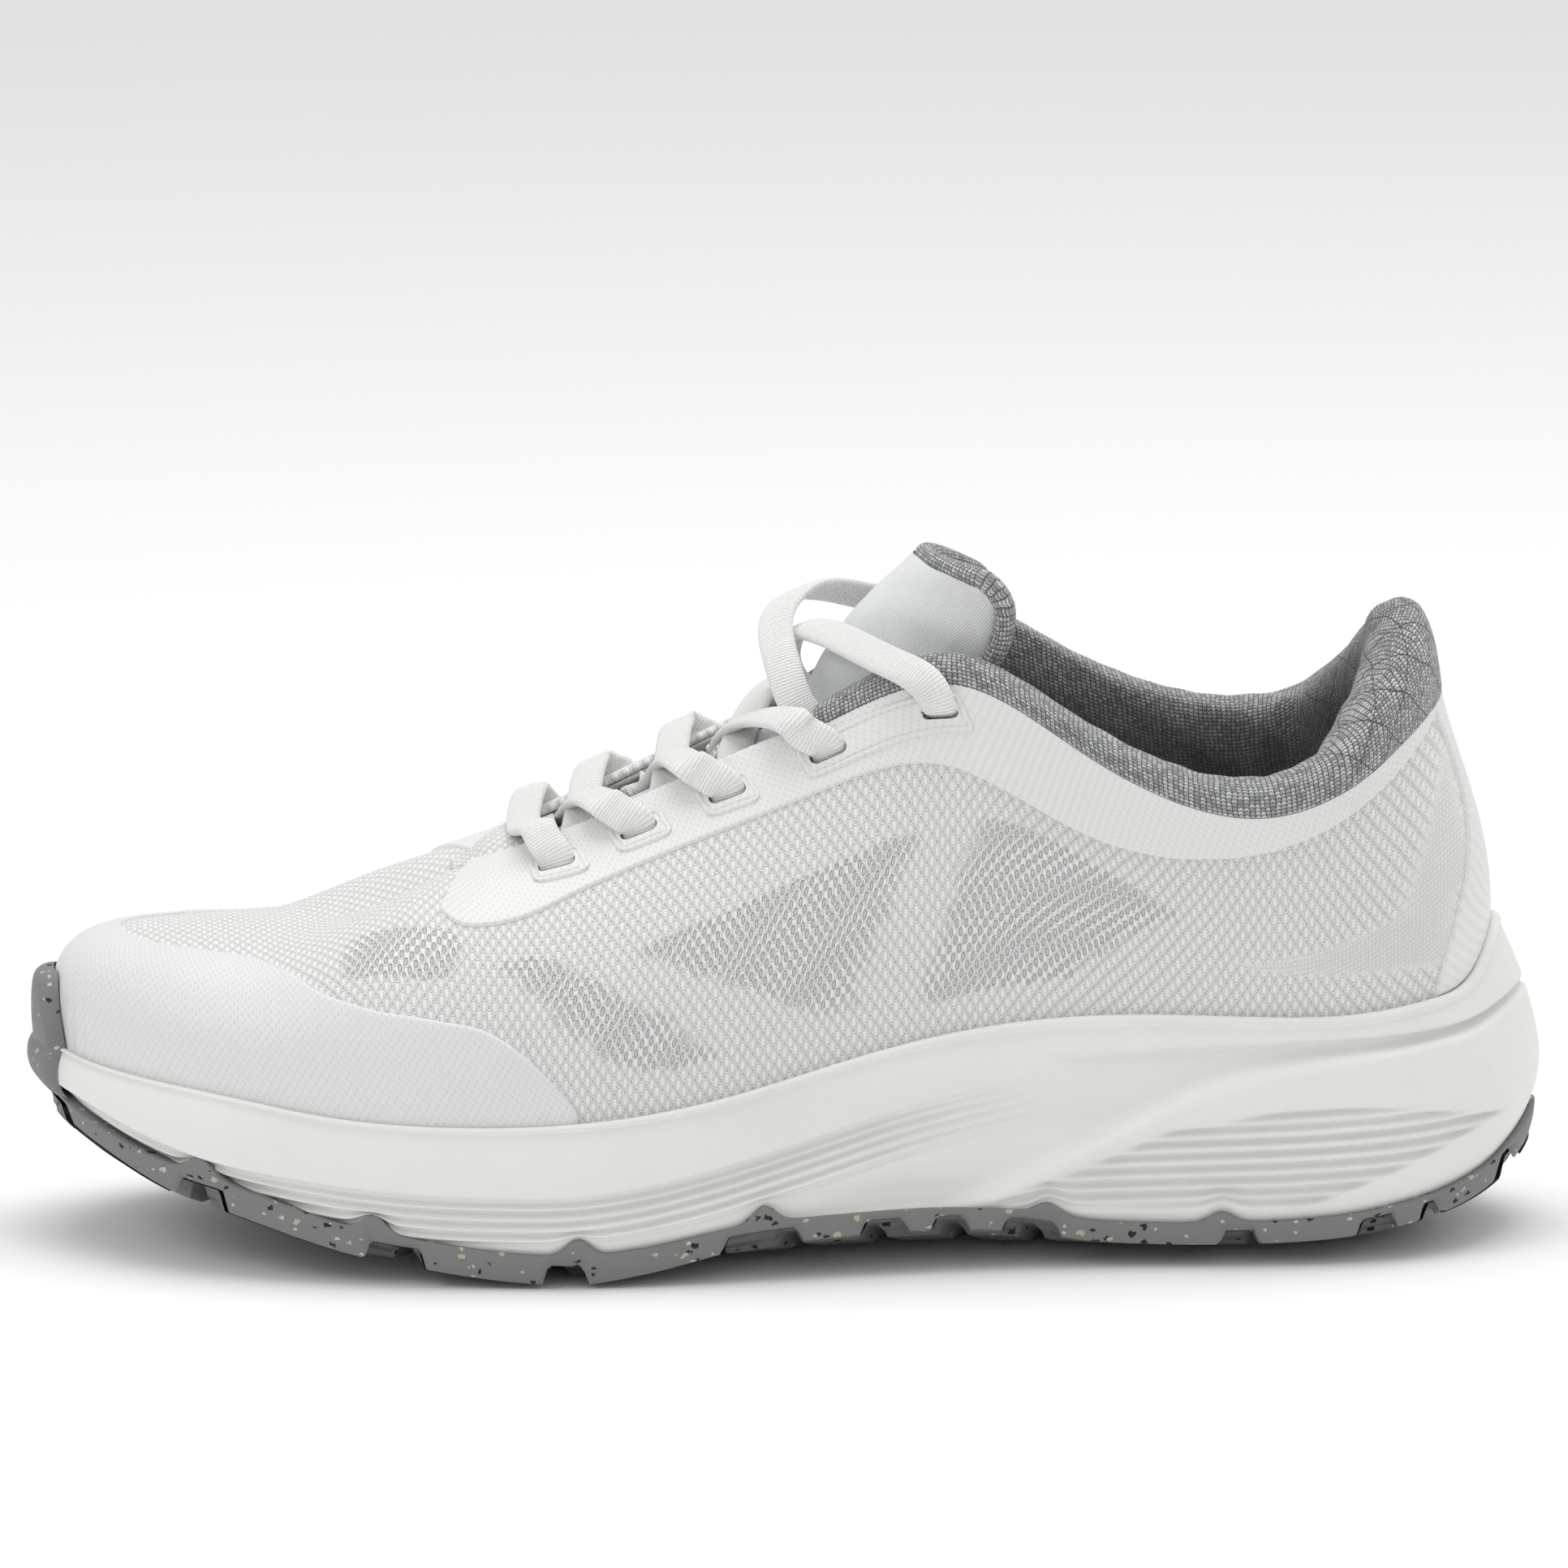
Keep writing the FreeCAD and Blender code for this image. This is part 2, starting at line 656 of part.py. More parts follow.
def slot_cutter(place, rise, length=SLOT_LENGTH, width=SLOT_WIDTH, depth=SLOT_DEPTH):
    origin, along, outward = slot_axes(place, rise)
    across = outward.cross(along)
    corner = origin - along * (length / 2) - across * (width / 2) - outward * (depth - 3)
    wire = Part.makePolygon([corner, corner + along * length, corner + along * length + across * width,
                             corner + across * width, corner])
    return Part.Face(wire).extrude(outward * depth)


def sided(place, side):
    return place if side == "lateral" else AROUND - place


def pierced(shape, side, holes=EYELETS):
    """The shape with the lace holes of one side cut through it."""
    cutters = [slot_cutter(sided(place, side), rise) for place, rise in holes]
    return shape.cut(cutters)


def side_places(side, start, end, count):
    places = [sided(place, side) for place in spread(start, end, count)]
    return places if side == "lateral" else list(reversed(places))


def quarter_mesh(side):
    shape = layer_solid(side_places(side, RIDGE_END, HALF, 40), WALL_RISES, 0, mesh_inner)
    return pierced(shape, side)


def quarter_liner(side):
    """Liner of one side, ending below the lace holes."""
    rises = spread(-0.12, 0, 3) + spread(0, QUARTER_LINER_TOP, 9)[1:]
    return layer_solid(side_places(side, RIDGE_END, COLLAR_START - 0.1, 18), rises, liner_outer, liner_inner)


def band_solid(side, outer, inner, start, end, top, low=band_rise, low_shift=0.0):
    """Strip along the throat and collar between its lower edge and the top of the wall."""
    def rises(place):
        bottom = low(from_tip(place) - BAND_START) + low_shift
        return spread(bottom, top, 5)
    return layer_solid(side_places(side, start, end, 44), rises, outer, inner)


def eyestay_film(side):
    shape = band_solid(side, film_outer, gap, 5.75, HALF - 0.95, BAND_TOP)
    return pierced(shape, side)


def eyestay_backing(side):
    shape = band_solid(side, backing_outer, puff_inner, 6.2, 10.4, 0.94, low_shift=0.04)
    return pierced(shape, side)


def eyelet_patches(side):
    """Raised frames round the lace holes: three single ones and one that spans the upper two."""
    frames = []
    first, last = EYELETS[3], EYELETS[4]
    for start, end in PATCHES:
        def rises(place):
            share = max(0.0, (from_tip(place) - first[0]) / (last[0] - first[0]))
            middle = first[1] + (last[1] - first[1]) * share
            return spread(middle - PATCH_REACH, middle + PATCH_REACH, 4)
        count = 5 if end < first[0] else 12
        frames.append(layer_solid(side_places(side, start, end, count), rises,
                                  patch_outer, film_outer + gap))
    return pierced(Part.Compound(frames), side)


def toe_film():
    """Smooth film over the toe, low along both sides to its pointed ends."""
    def rises(place):
        return spread(FILM_FOOT, cap_rise(from_tip(place)), 11)
    return layer_solid(spread(-CAP_END, CAP_END, 60), rises, film_outer + gap, 2 * gap)


def toe_puff():
    return layer_solid(spread(-3.5, 3.5, 26), spread(0.02, 0.66, 8), backing_outer, puff_inner)


def heel_counter():
    def rises(place):
        return spread(0.03, 0.60 - 0.28 * smoothstep(1.2, 3.4, abs(place - HALF)), 8)
    return layer_solid(spread(HALF - 3.4, HALF + 3.4, 26), rises, backing_outer, counter_inner)


def heel_film():
    """Strip up the back of the heel, wider at its foot."""
    def row(rise, offset):
        reach = HALF - heel_edge(rise)
        return [skin_point(place, rise, offset) for place in spread(HALF - reach, HALF + reach, 11)]
    rises = spread(FILM_FOOT, 0.98, 10)
    return sheet_solid([row(rise, film_outer) for rise in rises], [row(rise, gap) for rise in rises])


def collar_frame(place):
    """Top of the shell there, its outward direction and its upward direction."""
    top = wall_point(place, 1.0)
    outward = wall_normal(place, 0.97)
    upward = (top - wall_point(place, 0.93)).normalize()
    return top, outward, upward


def lining_depth(place, rise):
    """How far the lining's foot side lies inside the outer face of the mesh."""
    share = smoothstep(0.25, 0.9, rise)
    return LINING_LOW_DEPTH + (roll_depth(place) - LINING_LOW_DEPTH) * share


def roll_point(place, outward_by, upward_by):
    top, outward, upward = collar_frame(place)
    return top + outward * outward_by + upward * upward_by


LINING_RISES = [0.9, 0.75, 0.6, 0.45, 0.3, 0.18, 0.08]
LINING_DROPS = [4.5, 9.0]


def lining_row(place, inset):
    """Section of the collar lining, from its tucked edge over the roll and down to the insole."""
    height, depth = roll_height(place), roll_depth(place)
    row = [
        roll_point(place, -1.7 - inset, -1.4),
        roll_point(place, -1.2 - inset, 0.9),
        roll_point(place, -0.7 - inset, 0.5 * height),
        roll_point(place, -0.18 * depth - 0.6 * inset, 0.87 * height - 0.8 * inset),
        roll_point(place, -0.50 * depth, height - inset),
        roll_point(place, -0.82 * depth + 0.6 * inset, 0.80 * height - 0.8 * inset),
        roll_point(place, -0.99 * depth + inset, 0.2 * height),
    ]
    row += [skin_point(place, rise, -lining_depth(place, rise) + inset) for rise in LINING_RISES]
    return row + [row[-1] - UP * drop for drop in LINING_DROPS]


def collar_lining():
    places = spread(COLLAR_START, AROUND - COLLAR_START, 60)
    shape = sheet_solid([lining_row(place, 0.0) for place in places],
                        [lining_row(place, LINING) for place in places])
    for side in ("lateral", "medial"):
        shape = pierced(shape, side, EYELETS[4:])
    return shape


def collar_foam(side):
    """Foam core of the collar roll on one side."""
    inset = LINING + 3 * gap
    foot_rises = [0.9, 0.8, 0.7, 0.62]

    def foot_side(place):
        height, depth = roll_height(place), roll_depth(place)
        return [roll_point(place, -0.56 * depth, height - inset),
                roll_point(place, -0.82 * depth + 0.7 * inset, 0.80 * height - 0.9 * inset),
                roll_point(place, -0.99 * depth + inset, 0.2 * height)] + [
                skin_point(place, rise, -lining_depth(place, rise) + inset) for rise in foot_rises]

    def shell_side(place):
        height, depth = roll_height(place), roll_depth(place)
        return [roll_point(place, -0.46 * depth, height - inset),
                roll_point(place, -0.2 * depth - 0.8 * inset, 0.82 * height - 0.9 * inset),
                roll_point(place, -2.6 - inset, 0.1 * height)] + [
                skin_point(place, rise, counter_inner - gap) for rise in foot_rises]

    places = side_places(side, FOAM_START, HALF - 0.01, 30)
    return sheet_solid([foot_side(place) for place in places], [shell_side(place) for place in places])


# ---------------------------------------------------------------- tongue

tongue_x = curve([row[0] for row in TONGUE_ROWS])
tongue_z = curve([row[1] for row in TONGUE_ROWS])
tongue_half = curve([row[2] for row in TONGUE_ROWS])
tongue_fall = curve([row[3] for row in TONGUE_ROWS])
tongue_sweep = curve([row[4] for row in TONGUE_ROWS])
TONGUE_TOP = len(TONGUE_ROWS) - 1
FLAP_GAP = 0.12
BINDING_WIDTH = 3.4
FACE = 0.9
BACKING = 1.0


def tongue_outer(along, across):
    """Face of the tongue: along 0 at the toe end, across -1 lateral to +1 medial."""
    bow = across * across
    centre = 2.5 * (1 - smoothstep(0, 4, along))
    return Vector(tongue_x(along) + tongue_sweep(along) * bow, centre + tongue_half(along) * across,
                  tongue_z(along) - tongue_fall(along) * bow)


def tongue_point(along, across, depth):
    step = 0.03
    length_way = tongue_outer(along + step, across) - tongue_outer(along - step, across)
    width_way = tongue_outer(along, across + step) - tongue_outer(along, across - step)
    return tongue_outer(along, across) - length_way.cross(width_way).normalize() * depth


def tongue_layer(start, end, reach, outer, inner):
    """Layer of the tongue between two depths; reach is the share of the half width it covers."""
    rows = spread(start, end, 14)
    columns = spread(-1, 1, 13)

    def grid(depth):
        return [[tongue_point(along, across * reach(along), depth) for across in columns] for along in rows]
    return sheet_solid(grid(outer), grid(inner))


def inside_binding(along):
    return 1 - (BINDING_WIDTH + gap) / tongue_half(along)


def flap_reach(along):
    return inside_binding(along) - 0.02


def tongue_binding():
    """Knit edge strip up one side of the flap, across its top and down the other side."""
    thickness = float(sheet.tongue_thickness)
    corner = TONGUE_TOP - 0.55
    rim = []
    for along in spread(FLAP_START + FLAP_GAP, corner, 12):
        rim.append((along, -1, along, -inside_binding(along)))
    inner_top = TONGUE_TOP - 0.36
    for across in spread(-0.8, 0.8, 9):
        inner = across * inside_binding(TONGUE_TOP) / 0.86
        rim.append((TONGUE_TOP - 0.06 * across * across, across, inner_top, inner))
    for along in reversed(spread(FLAP_START + FLAP_GAP, corner, 12)):
        rim.append((along, 1, along, inside_binding(along)))

    def grid(depth):
        return [[tongue_point(a0 + (a1 - a0) * share, b0 + (b1 - b0) * share, depth)
                 for share in spread(0, 1, 4)] for a0, b0, a1, b1 in rim]
    return sheet_solid(grid(-0.3), grid(thickness + 0.3))


def add_tongue():
    thickness = float(sheet.tongue_thickness)
    layers = (("face", 0.0, FACE), ("foam", FACE + gap, thickness - BACKING - gap),
              ("backing", thickness - BACKING, thickness))
    for label, outer, inner in layers:
        add_feature("tongue_lower_" + label,
                    tongue_layer(0, FLAP_START - FLAP_GAP, lambda along: 0.98, outer, inner))
        add_feature("tongue_flap_" + label,
                    tongue_layer(FLAP_START + FLAP_GAP, TONGUE_TOP - 0.44, flap_reach, outer, inner))
    add_feature("tongue_binding", tongue_binding())


def add_upper():
    add_feature("vamp_mesh", domed_solid((RIDGE_END, AROUND - RIDGE_END), WALL_RISES, 0, mesh_inner))
    liner_rises = spread(-0.12, 0, 3) + spread(0, 1, 12)[1:]
    add_feature("vamp_liner", domed_solid((RIDGE_END, AROUND - RIDGE_END), liner_rises,
                                          liner_outer, liner_inner))
    for side in ("lateral", "medial"):
        add_feature("quarter_mesh_" + side, quarter_mesh(side))
        add_feature("quarter_liner_" + side, quarter_liner(side))
        add_feature("eyestay_film_" + side, eyestay_film(side))
        add_feature("eyestay_backing_" + side, eyestay_backing(side))
        add_feature("eyelet_patches_" + side, eyelet_patches(side))
        add_feature("collar_foam_" + side, collar_foam(side))
    add_feature("collar_lining", collar_lining())
    add_feature("toe_film", toe_film())
    add_feature("toe_puff", toe_puff())
    add_feature("heel_counter", heel_counter())
    add_feature("heel_film", heel_film())


# ---------------------------------------------------------------- laces

# The top crossing is left loose. Each row: x, y, z of the strand's middle line.
LOOSE_FROM_LATERAL = [(2.5, -12.6, 106.5), (-0.5, -8.5, 114.5), (-2, 1, 121.3), (2, 9.5, 125.3),
                      (9, 16, 125.5), (17.5, 22.5, 122.5), (25.5, 27.8, 118.6)]
LOOSE_FROM_MEDIAL = [(1.5, 12.8, 107.5), (0.5, 8.5, 116.5), (5.5, 0, 120.8), (12, -11, 120.2),
                     (19, -20.5, 118.2), (26, -27.6, 115.8)]
# Ends tucked down inside the collar and back along the insole.
TAIL = [(32.4, 20.6, 105.0), (33.5, 21.3, 96), (36, 22.6, 82), (40, 24, 66), (47, 24.2, 50), (60, 23.2, 42),
        (76, 22.8, 39.3), (92, 22.4, 39.3)]
TAIL_TURN = [0, 0, 0, 0, 0.35, 0.9, 1, 1]
LACE_ABOVE = 1.0
LACE_UNDER = 4.1
# Rows of the tongue where the lace strands cross.
CROSSING_ROWS = [1.25, 1.72, 2.56, 3.36]
# Extra height over the tongue where each row's strands cross.
CROSSING_EXTRA = [0, 0, 0, 0.9]


def throat_direction():
    """Direction along the throat, the way a flat lace lies across it."""
    low, high = wall_point(*EYELETS[0]), wall_point(*EYELETS[3])
    return Vector(high.x - low.x, 0, high.z - low.z).normalize()


def ribbon(stations):
    """Flat lace through stations, each a point and the direction of the lace's width there."""
    line = even_curve([point for point, _ in stations])
    widths = [width for _, width in stations]
    last = len(stations) - 1
    reach = float(sheet.lace_width) / 2
    half_thick = float(sheet.lace_thickness) / 2
    top, bottom = [], []
    for place in spread(0, last, 5 * last + 1):
        centre = line.value(place)
        tangent = line.tangent(place)[0]
        i = min(int(place), last - 1)
        width = widths[i] + (widths[i + 1] - widths[i]) * (place - i)
        width = (width - tangent * width.dot(tangent)).normalize()
        outward = tangent.cross(width)
        top.append([centre + width * (reach * share) + outward * half_thick for share in spread(-1, 1, 4)])
        bottom.append([centre + width * (reach * share) - outward * half_thick for share in spread(-1, 1, 4)])
    return sheet_solid(top, bottom)


def hole_station(number, side, rise_shift, offset):
    """Station near a lace hole, the lace's width lying along the throat edge."""
    place, rise = EYELETS[number]
    _, along, _ = slot_axes(sided(place, side), rise)
    return skin_point(sided(place, side), rise + rise_shift, offset), along * (1 if side == "lateral" else -1)


def into_hole(number, side):
    """Last stations of a strand that comes over the eyestay and turns down into a hole."""
    over = patch_outer + LACE_ABOVE
    return [hole_station(number, side, 0.17, over + 1.4), hole_station(number, side, 0.09, over + 0.9),
            hole_station(number, side, 0.022, over), hole_station(number, side, 0.0, 0.3)]


def out_of_hole(number, side):
    """First stations of a strand that leaves the underside of a hole towards the tongue."""
    return [hole_station(number, side, 0.0, -0.5), hole_station(number, side, 0.012, -LACE_UNDER + 1.2),
            hole_station(number, side, 0.07, -LACE_UNDER), hole_station(number, side, 0.18, -LACE_UNDER - 0.4)]


def opposite(side):
    return "medial" if side == "lateral" else "lateral"


def lace_bar():
    middle = tongue_point(CROSSING_ROWS[0], 0, -LACE_ABOVE - 1.0)
    return list(reversed(into_hole(0, "lateral"))) + [(middle, throat_direction())] + into_hole(0, "medial")


def lace_crossing(number, side):
    """Strand from under hole number on one side to over the next hole on the other."""
    along = CROSSING_ROWS[number]
    lift = (2.0 if side == "lateral" else 4.2) + CROSSING_EXTRA[number]
    sign = -1 if side == "lateral" else 1
    near = tongue_point(along - 0.12, 0.38 * sign, -0.85 * lift)
    middle = tongue_point(along, 0, -lift)
    across = throat_direction()
    return (out_of_hole(number - 1, side) + [(near, across), (middle, across)]
            + into_hole(number, opposite(side)))


def loose_crossing(side):
    listed = LOOSE_FROM_LATERAL if side == "lateral" else LOOSE_FROM_MEDIAL
    across = throat_direction()
    return (out_of_hole(3, side)[:3] + [(Vector(*row), across) for row in listed]
            + into_hole(4, opposite(side))[2:])


def lace_tail(side):
    """Lace end: in through the top hole, down beside the collar lining and back along the insole."""
    sign = -1 if side == "lateral" else 1
    across, level = throat_direction(), Vector(0, -sign, 0)
    stations = [hole_station(4, side, 0.0, -0.5), hole_station(4, side, 0.0, -5.0)]
    for (x, y, z), turn in zip(TAIL, TAIL_TURN):
        stations.append((Vector(x, sign * y, z), across * (1 - turn) + level * turn))
    return stations


def lace():
    paths = [lace_bar()]
    for number in (1, 2, 3):
        paths += [lace_crossing(number, "lateral"), lace_crossing(number, "medial")]
    for side in ("lateral", "medial"):
        paths += [loose_crossing(side), lace_tail(side)]
    return Part.Compound([ribbon(path) for path in paths])


def add_aglet(side):
    """Crimped tip on a lace end, lying on the insole."""
    body = document.addObject("PartDesign::Body", "lace_aglet_" + side)
    body.Label = "lace_aglet_" + side
    plane = next(item for item in body.Origin.OriginFeatures if item.Role == "YZ_Plane")
    sketch = body.newObject("Sketcher::SketchObject", "tip_section_" + side)
    sketch.AttachmentSupport = [(plane, "")]
    sketch.MapMode = "FlatFace"
    circle = sketch.addGeometry(Part.Circle(Vector(0, 0, 0), Vector(0, 0, 1), DIMENSIONS["aglet_radius"]), False)
    sketch.addConstraint(Sketcher.Constraint("Radius", circle, DIMENSIONS["aglet_radius"]))
    sketch.setExpression("Constraints[0]", "Dimensions.aglet_radius")
    tip = body.newObject("PartDesign::Pad", "tip_" + side)
    tip.Profile = sketch
    tip.setExpression("Length", "Dimensions.aglet_length")
    sign = -1 if side == "lateral" else 1
    end_x, end_y, end_z = TAIL[-1]
    start_x, start_y, _ = TAIL[-2]
    heading = math.degrees(math.atan2(sign * (end_y - start_y), end_x - start_x))
    body.Placement = FreeCAD.Placement(Vector(end_x + gap, sign * end_y, end_z),
                                       FreeCAD.Rotation(Vector(0, 0, 1), heading))
    body.Tip = tip
    sub_parts.append(body)


KEEPER_START, KEEPER_END = 2.76, 3.14
KEEPER_HALF_WIDTH = 0.2


def lace_keeper():
    """Webbing loop stitched to the face of the tongue."""
    rows = spread(KEEPER_START, KEEPER_END, 9)
    columns = spread(-KEEPER_HALF_WIDTH, KEEPER_HALF_WIDTH, 4)

    def grid(height):
        middle, reach = (KEEPER_START + KEEPER_END) / 2, (KEEPER_END - KEEPER_START) / 2
        return [[tongue_point(along, across, -height - 0.8 * (1 - ((along - middle) / reach) ** 2) ** 2)
                 for across in columns] for along in rows]
    return sheet_solid(grid(gap + 0.8), grid(gap))


def add_laces():
    add_feature("lace", lace())
    add_feature("lace_keeper", lace_keeper())
    for side in ("lateral", "medial"):
        add_aglet(side)


# ---------------------------------------------------------------- checks and files

def check_and_export():
    """Every object computed and every sub-part a valid solid, then one STEP file for each."""
    for item in document.Objects:
        if "Invalid" in item.State or "Error" in item.State:
            raise RuntimeError("%s failed to compute" % item.Name)
    for item in sub_parts:
        if item.Shape.isNull() or not item.Shape.isValid() or not item.Shape.Solids:
            raise RuntimeError("%s has no valid solid" % item.Label)
    os.makedirs("parts", exist_ok=True)
    for item in sub_parts:
        item.Shape.exportStep("parts/%s.step" % item.Label)
        print("%-26s %9.0f mm3, %d solids" % (item.Label, item.Shape.Volume, len(item.Shape.Solids)))


add_sole()
add_upper()
add_tongue()
add_laces()
document.recompute()
check_and_export()
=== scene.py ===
"""Looks of a running shoe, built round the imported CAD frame.

The upper is one smooth form. Round the shoe, a place is a number from 0 at the toe tip by way of the
lateral side to 16 at the heel and back to 32 along the medial side. A rise runs up the wall, from 0 at
the midsole's edge to 1 at the ridge, throat or collar. Shapes are worked out in millimetres, as arrays
of places by rises, and turned into metres when a mesh is made.
"""
import math

import bmesh
import bpy
import numpy as np
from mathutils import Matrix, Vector


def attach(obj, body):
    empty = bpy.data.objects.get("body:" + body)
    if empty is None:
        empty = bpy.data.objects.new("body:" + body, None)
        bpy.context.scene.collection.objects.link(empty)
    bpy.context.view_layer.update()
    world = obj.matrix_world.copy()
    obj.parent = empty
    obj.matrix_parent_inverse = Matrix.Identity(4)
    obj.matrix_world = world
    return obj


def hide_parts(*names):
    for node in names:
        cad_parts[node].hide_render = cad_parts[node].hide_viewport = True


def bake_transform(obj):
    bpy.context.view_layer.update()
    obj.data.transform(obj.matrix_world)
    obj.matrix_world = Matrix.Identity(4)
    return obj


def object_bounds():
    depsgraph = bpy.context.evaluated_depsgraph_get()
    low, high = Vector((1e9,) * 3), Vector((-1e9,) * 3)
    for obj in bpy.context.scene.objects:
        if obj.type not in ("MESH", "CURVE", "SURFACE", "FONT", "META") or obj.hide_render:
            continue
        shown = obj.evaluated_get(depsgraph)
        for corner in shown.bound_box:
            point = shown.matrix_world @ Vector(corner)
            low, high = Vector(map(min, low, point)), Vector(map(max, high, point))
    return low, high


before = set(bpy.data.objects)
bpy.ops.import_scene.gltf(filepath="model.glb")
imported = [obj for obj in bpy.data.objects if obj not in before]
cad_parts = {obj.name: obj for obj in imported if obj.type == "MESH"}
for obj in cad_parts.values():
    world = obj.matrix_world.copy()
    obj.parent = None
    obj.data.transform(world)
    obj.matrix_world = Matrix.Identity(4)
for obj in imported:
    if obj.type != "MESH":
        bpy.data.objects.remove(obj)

cad_low, cad_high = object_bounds()
DESIGN_LENGTH = 299.5
MM = (cad_high.x - cad_low.x) / DESIGN_LENGTH

# ------------------------------------------------------------------ form of the shoe, as in part.py

HALF = 16
AROUND = 2 * HALF
RIDGE_END = 5

SOLE_X = [-147, -144, -137, -126, -110, -90, -66, -40, -14, 14, 42, 70, 96, 118, 134, 144, 149.5]
SOLE_LATERAL = [8, -6, -17.5, -29.5, -39.5, -47, -52, -53.5, -50.5, -45.5, -41.5, -41, -41.5, -38, -29,
                -16.5, 0]
SOLE_MEDIAL = [8, 22, 32, 40.5, 47, 52, 53.5, 50, 42.5, 37.2, 36, 38.5, 40, 37, 28.5, 16.5, 0]

BASE_X = [-143.5, -140.5, -133.5, -122.5, -107, -88, -65, -40, -14, 13, 40, 66, 90, 110, 125, 134.5, 139]
BASE_LATERAL = [8, -4, -14.5, -25.5, -35, -42.5, -47.5, -48.5, -45.5, -40.5, -36.5, -35, -34.8, -32, -24.5,
                -14, 0]
BASE_MEDIAL = [8, 20.5, 29.5, 37, 43, 47.5, 49, 45.5, 38.5, 33, 31, 32, 33, 31, 24, 14, 0]
BASE_Z = [38, 37.2, 36.2, 35.4, 33.8, 31.4, 30.6, 31.6, 35.6, 42.6, 47.6, 49, 48.2, 47.8, 49, 52.5, 61]

TOP_X = [-113, -111, -106, -98, -84, -65, -55, -40, -16, 9, 33, 59, 86, 106, 119, 126.5, 128.5]
TOP_Y = [6, 6, 6, 5.5, 5, 3.5, 2.8, 1.5, 0.5, 0, 0, 0, 0, 0, 0, 0, 0]
TOP_OPEN = [0, 0, 0, 0, 0, 0, 10.5, 14.5, 15.5, 17.5, 26, 30.5, 33.5, 30.5, 21.5, 10.5, 0]
TOP_Z = [61.3, 61.3, 61.4, 61.7, 63.4, 72.3, 78.2, 85, 96.5, 108.5, 117, 102.5, 91.5, 94.5, 102.5,
         108, 109.5]
TOP_MEDIAL_LIFT = [0, 0, 0, 0, 0, 0, 0, 0, 0, 0, 1.5, 3.5, 4.5, 3, 1, 0, 0]

CLIMB = [0.85, 0.85, 0.82, 0.78, 0.74, 0.7, 0.64, 0.6, 0.58, 0.55, 0.5, 0.45, 0.4, 0.4, 0.4, 0.4, 0.4]
BELLY = [2, 2, 2, 2, 2, 2, 2, 2, 1.5, 1, 0.5, 1, 1.5, 1.8, 1.8, 1.5, 1]
ARRIVE_RUN = [0.92, 0.9, 0.82, 0.74, 0.66, 0.58, 0.52, 0.45, 0.42, 0.38, 0.25, 0.2, 0.2, 0.2, 0.2,
              0.25, 0.25]
ARRIVE_DROP = [0, 0, 0, 0, 0, 0, 0.1, 0.18, 0.22, 0.28, 0.3, 0.3, 0.3, 0.3, 0.3, 0.3, 0.3]

ROCKER = [(-152, 27), (-146, 22.5), (-138, 17.8), (-121, 11.2), (-104, 6.6), (-84, 2.8), (-66, 0.7), (-50, 0),
          (-30, 0), (-12, 0.9), (8, 1.7), (30, 1.7), (50, 0.6), (66, 0), (104, 0), (118, 1.4), (130, 4.4),
          (139, 8.6), (145, 13), (152, 19.5)]
BED = [(-150, 34), (-135, 30), (-110, 25.5), (-80, 22.5), (-50, 21.5), (-20, 22.5), (10, 25), (40, 28),
       (70, 30), (100, 31), (130, 32), (150, 33)]


def cubic_slopes(values, closed):
    """Slopes at each value of the smooth cubic through all of them, one unit apart."""
    own = np.eye(len(values))
    weights = 4 * own + np.roll(own, 1, axis=0) + np.roll(own, -1, axis=0)
    before, after = np.roll(values, 1), np.roll(values, -1)
    if not closed:
        weights[0, 0] = weights[-1, -1] = 2
        weights[0, -1] = weights[-1, 0] = 0
        before[0], after[-1] = values[0], values[-1]
    return np.linalg.solve(weights, 3 * (after - before))


def level_slopes(values):
    """Slopes of a closed curve that never overshoots: flat wherever its neighbours are level."""
    rise_in = values - np.roll(values, 1)
    rise_out = np.roll(values, -1) - values
    product = rise_in * rise_out
    total = np.where(product > 0, rise_in + rise_out, 1.0)
    return np.where(product > 0, 2 * product / total, 0.0)


def hermite(before, after, slope_before, slope_after, f):
    return (before * (1 + 2 * f) * (1 - f) ** 2 + slope_before * f * (1 - f) ** 2
            + after * (3 - 2 * f) * f * f + slope_after * (f - 1) * f * f)


def curve(values, closed=False, level=False):
    """A function through the values at 0, 1, 2 and so on, for a number or an array of places."""
    values = np.asarray(values, float)
    slope = level_slopes(values) if level else cubic_slopes(values, closed)
    count = len(values)

    def at(place):
        place = np.asarray(place, float)
        if closed:
            place = place % count
            i = np.floor(place).astype(int) % count
            j = (i + 1) % count
            return hermite(values[i], values[j], slope[i], slope[j], place - np.floor(place))
        inside = np.clip(place, 0, count - 1)
        i = np.clip(np.floor(inside).astype(int), 0, count - 2)
        value = hermite(values[i], values[i + 1], slope[i], slope[i + 1], inside - i)
        return value + (place - inside) * np.where(place < 0, slope[0], slope[-1])
    return at


def profile(points):
    """Height as a smooth function of x through the (x, height) points, level with its ends outside."""
    xs, zs = np.array(points, float).T
    steps = np.diff(zs) / np.diff(xs)
    slope = np.concatenate([steps[:1], (steps[1:] + steps[:-1]) / 2, steps[-1:]])

    def at(x):
        x = np.clip(x, xs[0], xs[-1])
        i = np.clip(np.searchsorted(xs, x) - 1, 0, len(xs) - 2)
        width = xs[i + 1] - xs[i]
        return hermite(zs[i], zs[i + 1], slope[i] * width, slope[i + 1] * width, (x - xs[i]) / width)
    return at


def loop(lateral, medial=None, level=False):
    """Closed curve from the toe along the lateral values to the heel and back along the medial ones."""
    medial = lateral if medial is None else medial
    return curve(list(lateral) + list(medial[-2:0:-1]), closed=True, level=level)


